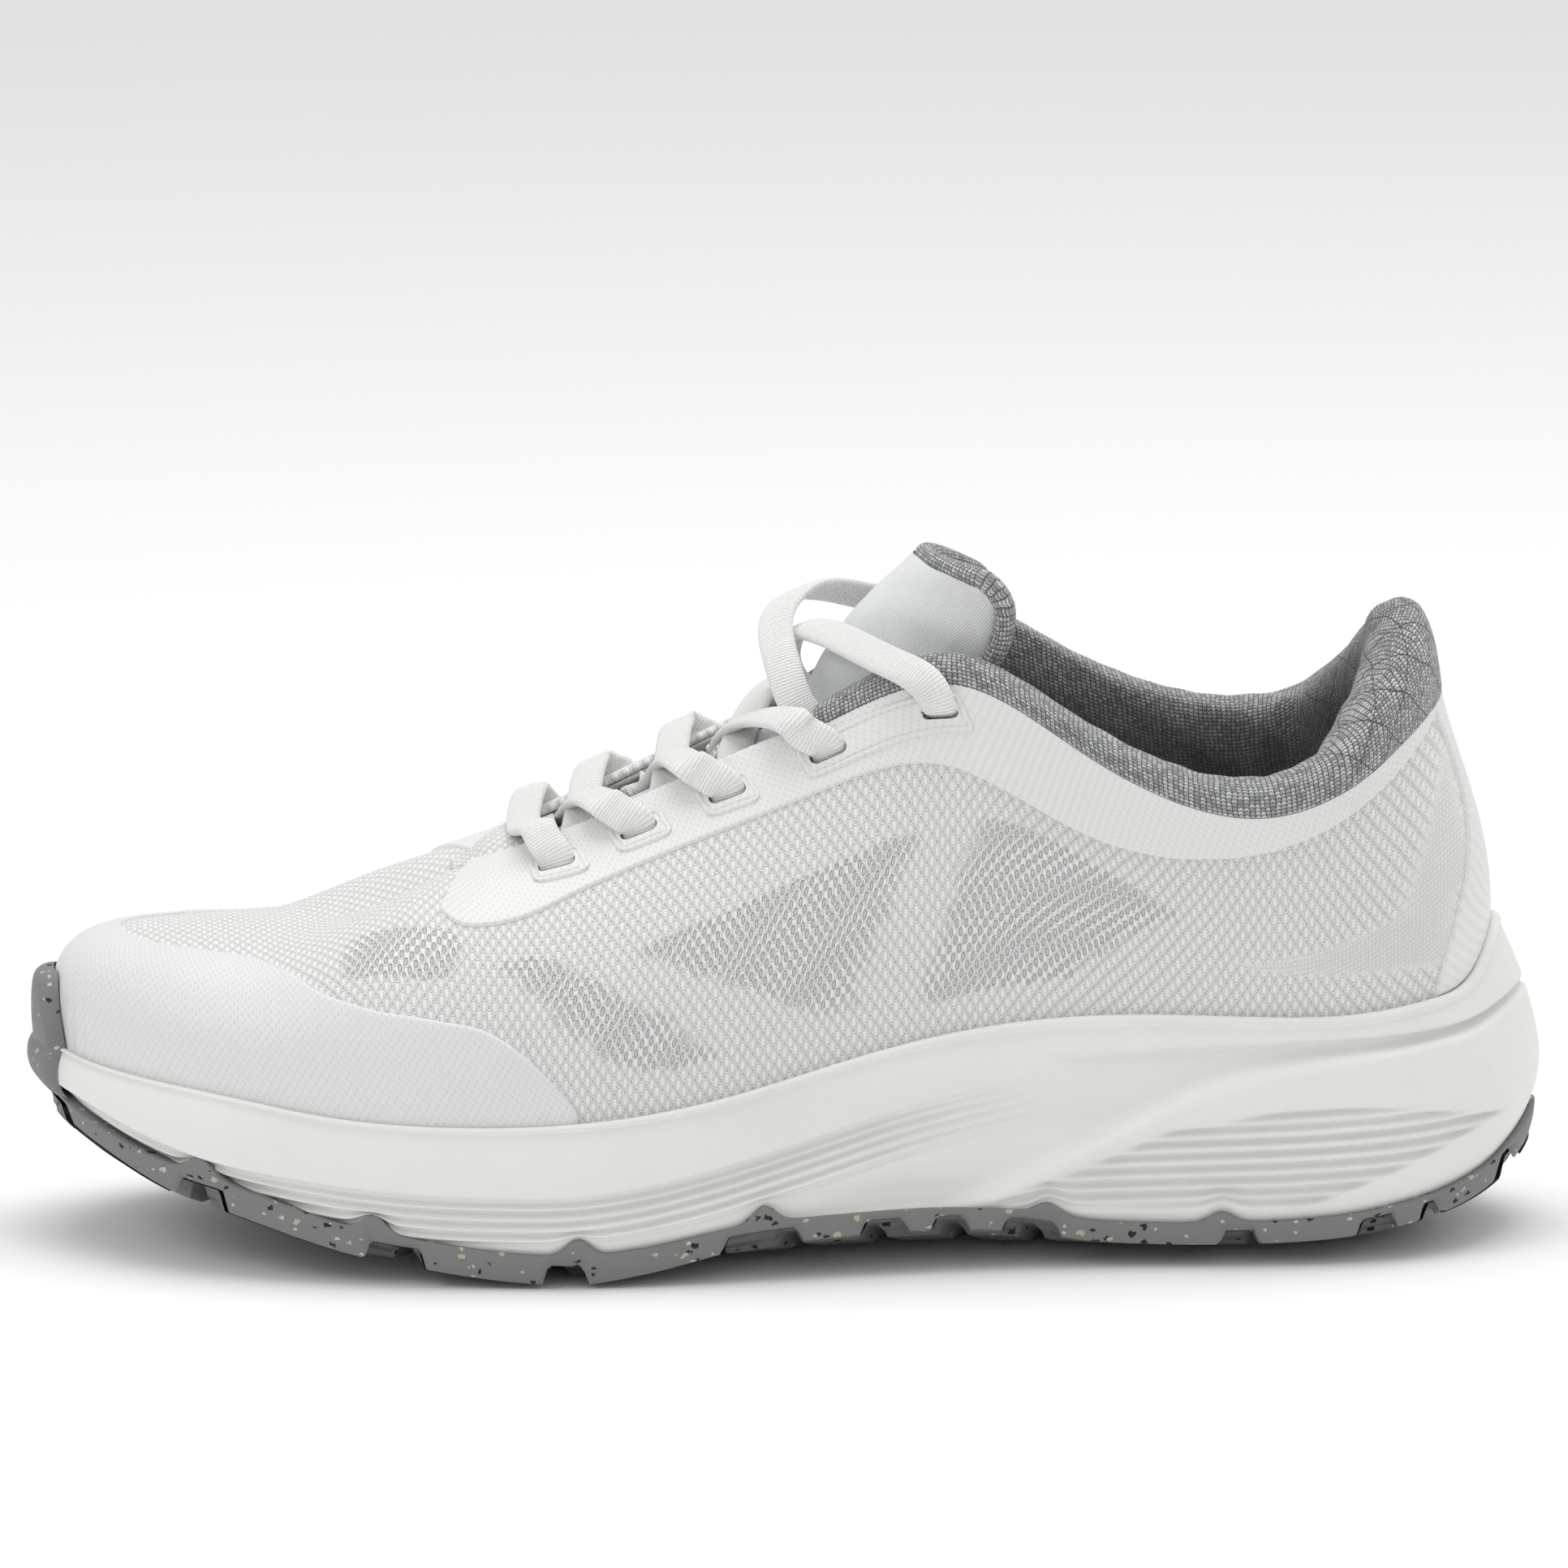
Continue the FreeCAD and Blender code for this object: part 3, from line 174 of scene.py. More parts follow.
sole_x, sole_y = loop(SOLE_X), loop(SOLE_LATERAL, SOLE_MEDIAL)
base_x, base_y, base_z = loop(BASE_X), loop(BASE_LATERAL, BASE_MEDIAL), loop(BASE_Z)
top_x, top_y, top_z = loop(TOP_X), loop(TOP_Y), loop(TOP_Z)
top_open = loop([-half for half in TOP_OPEN], TOP_OPEN, level=True)
top_lift = loop([0] * (HALF + 1), TOP_MEDIAL_LIFT, level=True)
climb, belly = loop(CLIMB), loop(BELLY)
arrive_run, arrive_drop = loop(ARRIVE_RUN), loop(ARRIVE_DROP)
rocker, bed = profile(ROCKER), profile(BED)

UP = np.array([0.0, 0.0, 1.0])


def smoothstep(low, high, value):
    f = np.clip((np.asarray(value, float) - low) / (high - low), 0, 1)
    return f * f * (3 - 2 * f)


def bell(value, centre, reach):
    """1 at the centre, falling smoothly to 0 at the reach either side."""
    return 1 - smoothstep(0, reach, np.abs(value - centre))


def points(x, y, z):
    return np.stack(np.broadcast_arrays(x, y, z), axis=-1).astype(float)


def unit(vectors):
    return vectors / np.maximum(np.linalg.norm(vectors, axis=-1, keepdims=True), 1e-9)


def outline_normal(x_of, y_of, place):
    """Level outward direction of an outline that runs anticlockwise seen from above."""
    step = 0.02
    dx = x_of(place + step) - x_of(place - step)
    dy = y_of(place + step) - y_of(place - step)
    return unit(points(dy, -dx, 0.0))


def sole_outward(place):
    return outline_normal(sole_x, sole_y, place)


def sole_point(place, outward=0.0):
    out = sole_outward(place) * np.asarray(outward, float)[..., None]
    return points(sole_x(place), sole_y(place), 0.0) + out


def base_point(place, outward=0.0):
    point = points(base_x(place), base_y(place), base_z(place))
    return point + outline_normal(base_x, base_y, place) * np.asarray(outward, float)[..., None]


def from_tip(place):
    place = np.asarray(place, float) % AROUND
    return np.minimum(place, AROUND - place)


def wall_point(place, rise):
    """The outer face of the upper's knit."""
    place, rise = np.broadcast_arrays(np.asarray(place, float), np.asarray(rise, float))
    base = base_point(place)
    top = points(top_x(place), top_y(place) + top_open(place), top_z(place) + top_lift(place))
    height = (top[..., 2] - base[..., 2])[..., None]
    outward = outline_normal(base_x, base_y, place)
    turn_in = base + outward * belly(place)[..., None] + UP * (climb(place)[..., None] * height)
    inward = (top - base) * np.array([1.0, 1.0, 0.0])
    arrive = top - inward * arrive_run(place)[..., None] - UP * (arrive_drop(place)[..., None] * height)
    t = rise[..., None]
    left = 1 - t
    return base * left ** 3 + turn_in * (3 * left * left * t) + arrive * (3 * left * t * t) + top * t ** 3


def wall_normal(place, rise):
    place, rise = np.broadcast_arrays(np.asarray(place, float), np.asarray(rise, float))
    step = 0.02
    near_ridge = from_tip(place) < RIDGE_END + 0.9
    rise = np.where(near_ridge, np.minimum(rise, 0.97), rise)
    along = wall_point(place + step, rise) - wall_point(place - step, rise)
    upward = wall_point(place, rise + step) - wall_point(place, rise - step)
    normal = unit(np.cross(along, upward))
    dx = top_x(place + step) - top_x(place - step)
    dz = top_z(place + step) - top_z(place - step)
    slope = np.where(np.abs(dx) > 1e-4, dz / np.where(np.abs(dx) > 1e-4, dx, 1), 0)
    ridge = unit(points(-slope, 0.0, 1.0))
    share = np.where(near_ridge, smoothstep(0.8, 0.97, rise), 0)[..., None]
    return unit(normal * (1 - share) + ridge * share)


def skin_point(place, rise, offset=0.0):
    offset = np.asarray(offset, float)[..., None]
    return wall_point(place, rise) + wall_normal(place, rise) * offset


def spread(low, high, count):
    return np.linspace(low, high, count)


# ------------------------------------------------------------------ camera, floor and light

FRAME_WIDTH = 0.309
LENS = 500.0
SENSOR = 36.0
AIM = Vector((0.0, 0.0, 0.0893))
LIT_POINT = Vector((0.0, 0.0, 0.05))
AZIMUTH, ELEVATION = math.radians(-3), math.radians(12)


def add_camera():
    distance = FRAME_WIDTH * LENS / SENSOR
    back = Vector((math.sin(AZIMUTH) * math.cos(ELEVATION), -math.cos(AZIMUTH) * math.cos(ELEVATION),
                   math.sin(ELEVATION)))
    data = bpy.data.cameras.new("camera")
    data.lens = LENS
    data.sensor_width = SENSOR
    data.clip_start = 0.01
    camera = bpy.data.objects.new("camera", data)
    camera.location = AIM + back * distance
    camera.rotation_euler = (-back).to_track_quat("-Z", "Y").to_euler()
    bpy.context.scene.collection.objects.link(camera)
    bpy.context.scene.camera = camera


def add_light(name, place, size, power):
    data = bpy.data.lights.new(name, "AREA")
    data.shape = "RECTANGLE"
    data.size, data.size_y = size
    data.energy = power
    light = bpy.data.objects.new(name, data)
    light.location = place
    light.rotation_euler = (LIT_POINT - Vector(place)).to_track_quat("-Z", "Y").to_euler()
    bpy.context.scene.collection.objects.link(light)


def add_studio():
    world = bpy.data.worlds.new("studio")
    world.use_nodes = True
    background = world.node_tree.nodes["Background"]
    background.inputs["Color"].default_value = (1.0, 1.0, 1.0, 1.0)
    background.inputs["Strength"].default_value = 0.66
    bpy.context.scene.world = world
    bpy.context.scene.view_settings.view_transform = "Standard"
    add_light("top_light", (0.05, 0.15, 1.2), (1.1, 0.9), 7.5)
    add_light("key_light", (-1.0, -0.5, 1.0), (0.5, 0.5), 2.0)
    add_light("rim_light", (1.0, 0.6, 0.7), (0.5, 0.5), 1.2)


# ------------------------------------------------------------------ materials

class Value:
    """A number or vector inside a material, with the arithmetic that nodes can do."""

    def __init__(self, paint, socket):
        self.paint = paint
        self.socket = socket

    def __add__(self, other):
        return self.paint.math("ADD", self, other)

    def __sub__(self, other):
        return self.paint.math("SUBTRACT", self, other)

    def __rsub__(self, other):
        return self.paint.math("SUBTRACT", other, self)

    def __mul__(self, other):
        return self.paint.math("MULTIPLY", self, other)

    def __truediv__(self, other):
        return self.paint.math("DIVIDE", self, other)

    __radd__, __rmul__ = __add__, __mul__

    def fract(self):
        return self.paint.math("FRACT", self)

    def floor(self):
        return self.paint.math("FLOOR", self)

    def abs(self):
        return self.paint.math("ABSOLUTE", self)

    def sqrt(self):
        return self.paint.math("SQRT", self)

    def minimum(self, other):
        return self.paint.math("MINIMUM", self, other)

    def maximum(self, other):
        return self.paint.math("MAXIMUM", self, other)

    def ease(self, low, high):
        """0 at low, 1 at high, smooth between."""
        return self.paint.node("MapRange", {"Value": self, "From Min": low, "From Max": high},
                               interpolation_type="SMOOTHSTEP")


class Paint:
    """A material in the making: each method adds one node and returns its output."""

    def __init__(self, name, roughness, specular=0.5, sheen=0.0):
        self.material = bpy.data.materials.new(name)
        self.material.use_nodes = True
        self.tree = self.material.node_tree
        self.shader = self.tree.nodes["Principled BSDF"]
        self.shader.inputs["Roughness"].default_value = roughness
        self.shader.inputs["Specular IOR Level"].default_value = specular
        self.shader.inputs["Sheen Weight"].default_value = sheen

    def plug(self, value, socket):
        if isinstance(value, Value):
            self.tree.links.new(value.socket, socket)
        else:
            socket.default_value = value

    def node(self, kind, inputs, output=0, **settings):
        made = self.tree.nodes.new("ShaderNode" + kind)
        for key, setting in settings.items():
            setattr(made, key, setting)
        for key, value in inputs.items():
            self.plug(value, made.inputs[key])
        return Value(self, made.outputs[output])

    def math(self, operation, first, second=0.0):
        return self.node("Math", {0: first, 1: second}, operation=operation)

    def zone(self, name):
        return self.node("Attribute", {}, output="Fac", attribute_name=name)

    def cloth(self):
        """Position on the fabric in millimetres: along it, across it."""
        place = self.node("Attribute", {}, output="Vector", attribute_name="cloth")
        split = self.tree.nodes.new("ShaderNodeSeparateXYZ")
        self.plug(place, split.inputs[0])
        return Value(self, split.outputs[0]), Value(self, split.outputs[1])

    def join(self, x, y, z=0.0):
        return self.node("CombineXYZ", {0: x, 1: y, 2: z})

    def solid_place(self):
        """Position in space, in millimetres."""
        place = self.node("TexCoord", {}, output="Object")
        return self.node("VectorMath", {0: place, 1: (1 / MM, 1 / MM, 1 / MM)}, operation="MULTIPLY")

    def noise(self, vector, size, detail=2.0):
        return self.node("TexNoise", {"Vector": vector, "Scale": 1 / size, "Detail": detail})

    def random(self, vector):
        """A random number for each whole-numbered cell."""
        return self.node("TexWhiteNoise", {"Vector": vector}, output="Value", noise_dimensions="3D")

    def mix(self, factor, first, second):
        """Colour between two colours."""
        made = self.tree.nodes.new("ShaderNodeMix")
        made.data_type = "RGBA"
        self.plug(factor, made.inputs["Factor"])
        self.plug(first, made.inputs[6])
        self.plug(second, made.inputs[7])
        return Value(self, made.outputs[2])

    def finish(self, color, height=None, depth=0.0):
        """Colour, and a bump whose full height of 1 stands for the depth in millimetres."""
        self.plug(color, self.shader.inputs["Base Color"])
        if height is not None:
            bump = self.node("Bump", {"Height": height, "Distance": depth * MM, "Strength": 1.0})
            self.plug(bump, self.shader.inputs["Normal"])
        return self.material


def grey(level, tint=(1.0, 1.0, 1.0)):
    return (level * tint[0], level * tint[1], level * tint[2], 1.0)


WARM = (1.0, 0.995, 0.975)
COOL = (0.965, 0.985, 1.0)


def lattice(u, v, pitch_u, pitch_v, shift):
    """Offsets in millimetres from the nearest point of a rectangular lattice."""
    du = ((u / pitch_u + shift).fract() - 0.5) * pitch_u
    dv = ((v / pitch_v + shift).fract() - 0.5) * pitch_v
    return du, dv


def knit_material():
    """Engineered knit: staggered small rings, open windows and fine plain areas."""
    paint = Paint("knit_mesh", roughness=0.75, specular=0.35, sheen=0.15)
    u, v = paint.cloth()
    wobble = paint.noise(paint.join(u, v), 9.0)
    u = u + (wobble - 0.5) * 0.7
    rings = None
    stars = None
    for shift in (0.0, 0.5):
        du, dv = lattice(u, v, 2.1, 3.5, shift)
        distance = (du * du * 1.2 + dv * dv * 0.8).sqrt()
        ring = (1 - ((distance - 0.5).abs()).ease(0.08, 0.3)) * 1.15
        slit = 1 - (du.abs()).ease(0.03, 0.14)
        ring = ring.maximum((1 - distance.ease(0.2, 0.42)) * (1 - slit) * 0.7)
        rings = ring if rings is None else rings.maximum(ring)
        su, sv = lattice(u + 1.05, v, 2.1, 3.5, shift)
        reach = (su * su + sv * sv * 0.28).sqrt()
        star = (1 - reach.ease(0.25, 0.75)) * 0.6
        stars = star if stars is None else stars.maximum(star)
    pattern = rings.maximum(stars)
    fu, fv = lattice(u, v, 0.75, 0.9, 0.0)
    plain = 1 - (fu * fu + fv * fv).sqrt().ease(0.15, 0.45)
    hole_u, hole_v = lattice(u + v * 0.12, v, 1.9, 3.3, 0.0)
    next_u, next_v = lattice(u + v * 0.12, v, 1.9, 3.3, 0.5)
    first = (hole_u * hole_u * 5.2 + hole_v * hole_v * 0.72).sqrt()
    second = (next_u * next_u * 5.2 + next_v * next_v * 0.72).sqrt()
    hole = 1 - first.minimum(second).ease(0.5, 0.9)
    window = paint.zone("window")
    fine = paint.zone("fine")
    ragged = paint.noise(paint.join(u, v), 3.5, 1.0)
    hole = hole * (window + (ragged - 0.5) * 0.7).ease(0.2, 0.75)
    height = pattern * (1 - fine) + plain * 0.5 * fine
    fibre = paint.noise(paint.join(u, v * 0.6), 0.25, 1.0)
    height = height * (1 - hole) - hole * 1.2 + (fibre - 0.5) * 0.35
    # painted shade: the knit is painted darker where its stitches lie low
    body = paint.mix(height.ease(-0.35, 0.8), grey(0.66, WARM), grey(0.86, WARM))
    # painted shade: the open holes of the windows are painted grey, as the shade seen through them
    color = paint.mix(hole, body, grey(0.60, WARM))
    return paint.finish(color, height, 0.3)


def film_material(name, level, tint, grain):
    """Fused polymer film over the knit, pitted with short slanting dashes."""
    paint = Paint(name, roughness=0.42, specular=0.45)
    u, v = paint.cloth()
    pit = None
    for shift in (0.0, 0.5):
        du, dv = lattice(u + v * 0.35, v, 1.7, 1.9, shift)
        slot = 1 - (du * du * 9.0 + dv * dv * 1.3).sqrt().ease(0.32, 0.62)
        pit = slot if pit is None else pit.maximum(slot)
    cloud = paint.noise(paint.join(u, v), 0.8, 3.0)
    height = (cloud - 0.5) * (grain * 14) - pit * 0.8
    # painted shade: the pitted dashes are painted darker than the film around them
    shade = paint.mix(pit * 0.45, grey(level, tint), grey(level * 0.86, tint))
    return paint.finish(shade, height, 0.07)


def melange_material(name, dark, light, pitch):
    """V-stitch knit of dark and light yarns, quilted in places, with painted shade where the stitches lie low;
    the inside is painted darker, partly as its own darker yarn and partly as painted shade.
    """
    paint = Paint(name, roughness=0.55, sheen=0.3)
    u, v = paint.cloth()
    wander = paint.noise(paint.join(u, v), 4.0)
    u = u + (wander - 0.5) * 1.2
    column = u / pitch
    lean = (column.fract() - 0.5).abs() * 0.9
    course = v / (pitch * 0.78) + lean
    cell = paint.join(column.floor(), course.floor())
    yarn = 1 - ((course.fract() - 0.5).abs()).ease(0.2, 0.5)
    rib = 1 - ((column.fract() - 0.5).abs()).ease(0.25, 0.5)
    fibre = paint.noise(paint.join(u * 0.8, v * 2.6), 0.28, 3.0)
    quilt = paint.zone("quilt") * (1 - ((u + v * 0.8) / 8.5).fract().ease(0.0, 0.06)
                                   + 1 - ((u - v * 0.8) / 8.5).fract().ease(0.0, 0.06))
    height = yarn * rib * (0.8 + 0.2 * fibre) + (fibre - 0.5) * 0.6 - quilt * 1.1
    tone = paint.random(cell) * 0.35 + fibre * 0.75
    color = paint.mix(tone.ease(0.2, 0.75), grey(dark, COOL), grey(light, COOL))
    # painted shade: darker where the stitches and quilting lie low
    color = paint.mix(height.ease(0.0, 0.6), grey(dark * 0.5), color)
    # inside of the collar painted darker: partly its own darker yarn, partly painted shade
    color = paint.mix(paint.zone("inner") * 0.8, color, grey(dark * 0.42))
    return paint.finish(color, height, 0.3)


def satin_material():
    """Fine twill of the tongue's face."""
    paint = Paint("tongue_satin", roughness=0.48, specular=0.45, sheen=0.25)
    u, v = paint.cloth()
    line = ((u * 0.55 + v) / 0.62).fract()
    thread = 1 - (line - 0.5).abs().ease(0.15, 0.5)
    weave = ((u - v * 0.3) / 0.42).fract()
    bead = 1 - (weave - 0.5).abs().ease(0.2, 0.5)
    height = thread * 0.7 + thread * bead * 0.4
    # painted shade: darker in the low lines between the twill's threads
    color = paint.mix(height.ease(0.0, 1.0), grey(0.76, COOL), grey(0.90, COOL))
    return paint.finish(color, height, 0.11)


def lace_material():
    """Flat tubular lace: ribs across it, soft fibres."""
    paint = Paint("lace_weave", roughness=0.8, specular=0.3, sheen=0.35)
    u, v = paint.cloth()
    rib = ((u / 0.62).fract() - 0.5).abs()
    yarn = ((v / 0.55 + ((u / 0.62).floor() * 0.5)).fract() - 0.5).abs()
    height = (1 - rib.ease(0.15, 0.5)) * 0.8 + (1 - yarn.ease(0.1, 0.5)) * 0.5
    fibre = paint.noise(paint.join(u, v), 0.22, 2.0)
    height = height + (fibre - 0.5) * 0.8
    # painted shade: darker where the ribs and yarns lie low
    color = paint.mix(height.ease(-0.2, 1.3), grey(0.82, WARM), grey(0.95, WARM))
    return paint.finish(color, height, 0.16)


def webbing_material():
    """Ladder weave of the lace keeper."""
    paint = Paint("webbing", roughness=0.7, specular=0.3, sheen=0.2)
    u, v = paint.cloth()
    rung = 1 - ((u / 1.25).fract() - 0.5).abs().ease(0.12, 0.3)
    edge = (v - 2.2).abs().ease(1.35, 1.6)
    height = rung.maximum(edge)
    # painted shade: the low gaps between the rungs and edges are painted dark
    color = paint.mix(height, grey(0.28), grey(0.84))
    return paint.finish(color, height, 0.35)


def foam_material():
    """Moulded midsole foam: satin skin with a fine pebble."""
    paint = Paint("midsole_foam", roughness=0.5, specular=0.4)
    place = paint.solid_place()
    pebble = paint.noise(place, 0.45, 2.0)
    cloud = paint.noise(place, 18.0, 2.0)
    groove = paint.zone("groove")
    color = paint.mix(cloud, grey(0.80, (1.0, 0.99, 0.955)), grey(0.86, (1.0, 0.995, 0.97)))
    # painted shade: the foam is painted darker in the grooves between the heel's ribs
    color = paint.mix(groove * 0.3, color, grey(0.74, (1.0, 0.975, 0.91)))
    return paint.finish(color, pebble, 0.06)


# Chips in the rubber: cell size in millimetres, share of cells left plain, colour, seed.
CHIPS = [
    (2.4, 0.95, grey(0.012), 0.0),
    (1.7, 0.955, grey(0.02, (0.8, 0.9, 1.3)), 17.0),
    (2.0, 0.965, (0.50, 0.43, 0.34, 1.0), 31.0),
    (1.2, 0.95, grey(0.55), 53.0),
]


def rubber_material():
    """Grey rubber with dark, cream and white chips."""
    paint = Paint("speckled_rubber", roughness=0.62, specular=0.35)
    place = paint.solid_place()
    bent = paint.node("VectorMath", {0: place, 1: (1.0, 1.0, 1.35)}, operation="MULTIPLY")
    color = grey(0.215, (0.985, 1.0, 0.985))
    jagged = paint.node("TexNoise", {"Vector": place, "Scale": 1.1, "Detail": 2.0}, output="Color")
    bent = paint.node("VectorMath", {0: jagged, 1: (1.6, 1.6, 1.6), 2: bent}, operation="MULTIPLY_ADD")
    for size, share, chip, seed in CHIPS:
        moved = paint.node("VectorMath", {0: bent, 1: (seed, seed * 0.7, seed * 1.3)}, operation="ADD")
        cell = {"Vector": moved, "Scale": 1 / size}
        tone = paint.node("TexVoronoi", cell, output="Color")
        split = paint.node("SeparateColor", {0: tone})
        near = paint.node("TexVoronoi", cell, output="Distance")
        chosen = paint.math("GREATER_THAN", split, share)
        color = paint.mix(chosen * (1 - near.ease(0.36, 0.42)), color, chip)
    grain = paint.noise(place, 0.5, 2.0)
    return paint.finish(color, grain, 0.05)


def plain_material(name, color, roughness=0.7):
    """Quiet grained surface of pieces that hardly show."""
    paint = Paint(name, roughness=roughness)
    place = paint.solid_place()
    speck = paint.noise(place, 0.6)
    shade = paint.mix(speck, tuple(c * 0.85 for c in color) + (1.0,), color + (1.0,))
    return paint.finish(shade, speck, 0.05)


MATERIALS = {
    "knit_mesh": knit_material(),
    "white_film": film_material("white_film", 0.82, WARM, grain=0.05),
    "toe_film": film_material("toe_film", 0.77, (0.995, 1.0, 0.995), grain=0.09),
    "melange_knit": melange_material("melange_knit", 0.17, 0.84, pitch=0.95),
    "lining_knit": melange_material("lining_knit", 0.045, 0.16, pitch=1.1),
    "tongue_satin": satin_material(),
    "lace_weave": lace_material(),
    "webbing": webbing_material(),
    "midsole_foam": foam_material(),
    "speckled_rubber": rubber_material(),
    "liner_fabric": plain_material("liner_fabric", (0.55, 0.55, 0.54)),
    "board_fabric": plain_material("board_fabric", (0.62, 0.61, 0.57)),
    "backing_fabric": plain_material("backing_fabric", (0.66, 0.65, 0.61)),
    "insole_foam": melange_material("insole_foam", 0.05, 0.14, pitch=1.0),
    "stiffener": plain_material("stiffener", (0.66, 0.65, 0.6), roughness=0.5),
    "clear_tip": plain_material("clear_tip", (0.72, 0.72, 0.71), roughness=0.25),
}


# ------------------------------------------------------------------ mesh making

def grid_faces(rows, columns, wrap=False):
    i = np.arange(rows if wrap else rows - 1)[:, None]
    j = np.arange(columns - 1)[None, :]
    here = i * columns + j
    ahead = ((i + 1) % rows) * columns + j
    return np.stack([here, ahead, ahead + 1, here + 1], axis=-1).reshape(-1, 4)


def cloth_of(grid):
    """Lengths along the middle column and up each row, as fabric coordinates."""
    middle = grid[:, grid.shape[1] // 2]
    along = np.concatenate([[0], np.cumsum(np.linalg.norm(np.diff(middle, axis=0), axis=-1))])
    across = np.cumsum(np.linalg.norm(np.diff(grid, axis=1), axis=-1), axis=1)
    across = np.concatenate([np.zeros((len(grid), 1)), across], axis=1)
    return points(along[:, None], across, 0.0)


def make_piece(name, vertices, faces, slot, replaced=(), cloth=None, zones=None, thickness=0.0,
               material=None, body="shoe", weld=False):
    """A smooth mesh object from arrays in millimetres, riding on its body."""
    mesh = bpy.data.meshes.new(name)
    mesh.from_pydata((vertices.reshape(-1, 3) * MM).tolist(), [], faces.tolist())
    if cloth is not None:
        attribute = mesh.attributes.new("cloth", "FLOAT_VECTOR", "POINT")
        attribute.data.foreach_set("vector", cloth.ravel())
    for zone, share in (zones or {}).items():
        mesh.attributes.new(zone, "FLOAT", "POINT").data.foreach_set("value", share.ravel())
    mesh.shade_smooth()
    mesh.materials.append(MATERIALS[material or slot])
    piece = bpy.data.objects.new(name, mesh)
    bpy.context.scene.collection.objects.link(piece)
    if weld:
        weld_seams(mesh)
    if thickness:
        wall = piece.modifiers.new("thickness", "SOLIDIFY")
        wall.thickness = thickness * MM
        wall.offset = -1
    if replaced:
        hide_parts(*replaced)
    if body:
        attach(piece, body)
    return piece


def weld_seams(mesh):
    work = bmesh.new()
    work.from_mesh(mesh)
    bmesh.ops.remove_doubles(work, verts=work.verts, dist=0.02 * MM)
    work.to_mesh(mesh)
    work.free()


def grid_piece(name, grid, slot, wrap=False, cloth=None, **facts):
    cloth = cloth_of(grid) if cloth is None else cloth
    faces = grid_faces(grid.shape[0], grid.shape[1], wrap)
    return make_piece(name, grid, faces, slot, cloth=cloth, **facts)


def edge_spacing(length, edge=0.9, steps=5, middle=40):
    """Shares from 0 to 1, close together near both ends of a strip of that length."""
    near = edge / length * (spread(0, 1, steps + 1) ** 1.5)
    return np.concatenate([near, spread(near[-1], 1 - near[-1], middle)[1:-1], 1 - near[::-1]])


def rounded_lift(share, length, thickness, edge=0.7, tuck=0.25):
    """Height of a film over what it lies on: rounded down to below it at both ends of the strip."""
    nearest = np.minimum(share, 1 - share) * length / edge
    t = np.clip(nearest, 0, 1)
    return (thickness + tuck) * np.sqrt(np.clip(1 - (1 - t) ** 2, 0, 1)) - tuck


# ------------------------------------------------------------------ upper

# Upper edge of the toe film: place from the toe tip, rise.
TOE_FILM_EDGE = [(0, 0.74), (1.05, 0.715), (1.9, 0.685), (2.9, 0.67), (3.6, 0.64), (4.1, 0.53), (4.6, 0.385),
                 (5.1, 0.31), (5.7, 0.28), (6.15, 0.25), (6.5, 0.17), (6.9, 0.03)]
TOE_FILM_END = 6.9
# Lower edge of the eyestay and collar film.
BAND_EDGE = [(5.45, 0.67), (5.75, 0.605), (6.1, 0.60), (6.4, 0.62), (7.0, 0.69), (8.1, 0.72), (9.15, 0.735),
             (9.55, 0.715), (9.8, 0.69), (10.1, 0.645), (10.5, 0.60), (10.9, 0.59), (11.35, 0.63),
             (11.8, 0.70), (12.4, 0.77), (13.2, 0.82), (14.1, 0.86), (15.3, 0.935)]
# Front edge of the heel film: rise, place.
HEEL_EDGE = [(0, 14.12), (0.1, 14.28), (0.22, 14.62), (0.32, 15.0), (0.45, 15.32), (0.6, 15.42), (0.75, 15.38),
             (0.93, 15.12), (1.0, 15.05)]
# Lace holes along the throat edge: place round the shoe and rise up the wall.
EYELETS = [(6.73, 0.82), (7.46, 0.84), (8.14, 0.845), (8.92, 0.855), (9.82, 0.87)]
SLOT_HALF, SLOT_RADIUS = 3.9, 1.5
FRAME_REACH = 5.8
MESH, FILM, PATCH, GAP = 1.4, 0.6, 0.8, 0.15
FILM_OUTER = GAP + FILM
PATCH_OUTER = FILM_OUTER + GAP + PATCH

SIDES = ("lateral", "medial")

toe_film_edge = profile(TOE_FILM_EDGE)
band_edge = profile(BAND_EDGE)
heel_edge = profile(HEEL_EDGE)


def sided(place, side):
    return place if side == "lateral" else AROUND - place


def facing(grid, side):
    """Rows turned round on the medial side, so that faces look outwards."""
    return grid if side == "lateral" else grid[::-1]


def in_patch(place, rise, corners, soft=0.3):
    """Share of a convex patch, its corners anticlockwise as (place, rise) on the lateral side."""
    share = np.ones(np.broadcast(place, rise).shape)
    for (x0, y0), (x1, y1) in zip(corners, corners[1:] + corners[:1]):
        run, climb_by = (x1 - x0), (y1 - y0) * 16
        length = math.hypot(run, climb_by)
        inside = (run * (rise - y0) * 16 - climb_by * (place - x0)) / length
        share = share * smoothstep(-soft, soft, inside)
    return share


WINDOWS = [
    [(4.75, 0.42), (5.75, 0.40), (5.85, 0.57), (4.65, 0.62)],
    [(7.25, 0.11), (7.95, 0.09), (6.62, 0.47), (6.2, 0.47)],
    [(7.95, 0.26), (8.85, 0.09), (9.5, 0.51), (7.35, 0.42)],
    [(9.45, 0.07), (10.5, 0.10), (11.45, 0.40), (10.75, 0.50), (10.05, 0.53)],
]
FINE_AREAS = [[(11.85, 0.225), (14.4, 0.10), (14.7, 0.34), (13.2, 0.32)],
              [(13.6, 0.30), (15.2, 0.30), (15.3, 0.80), (14.2, 0.55)]]


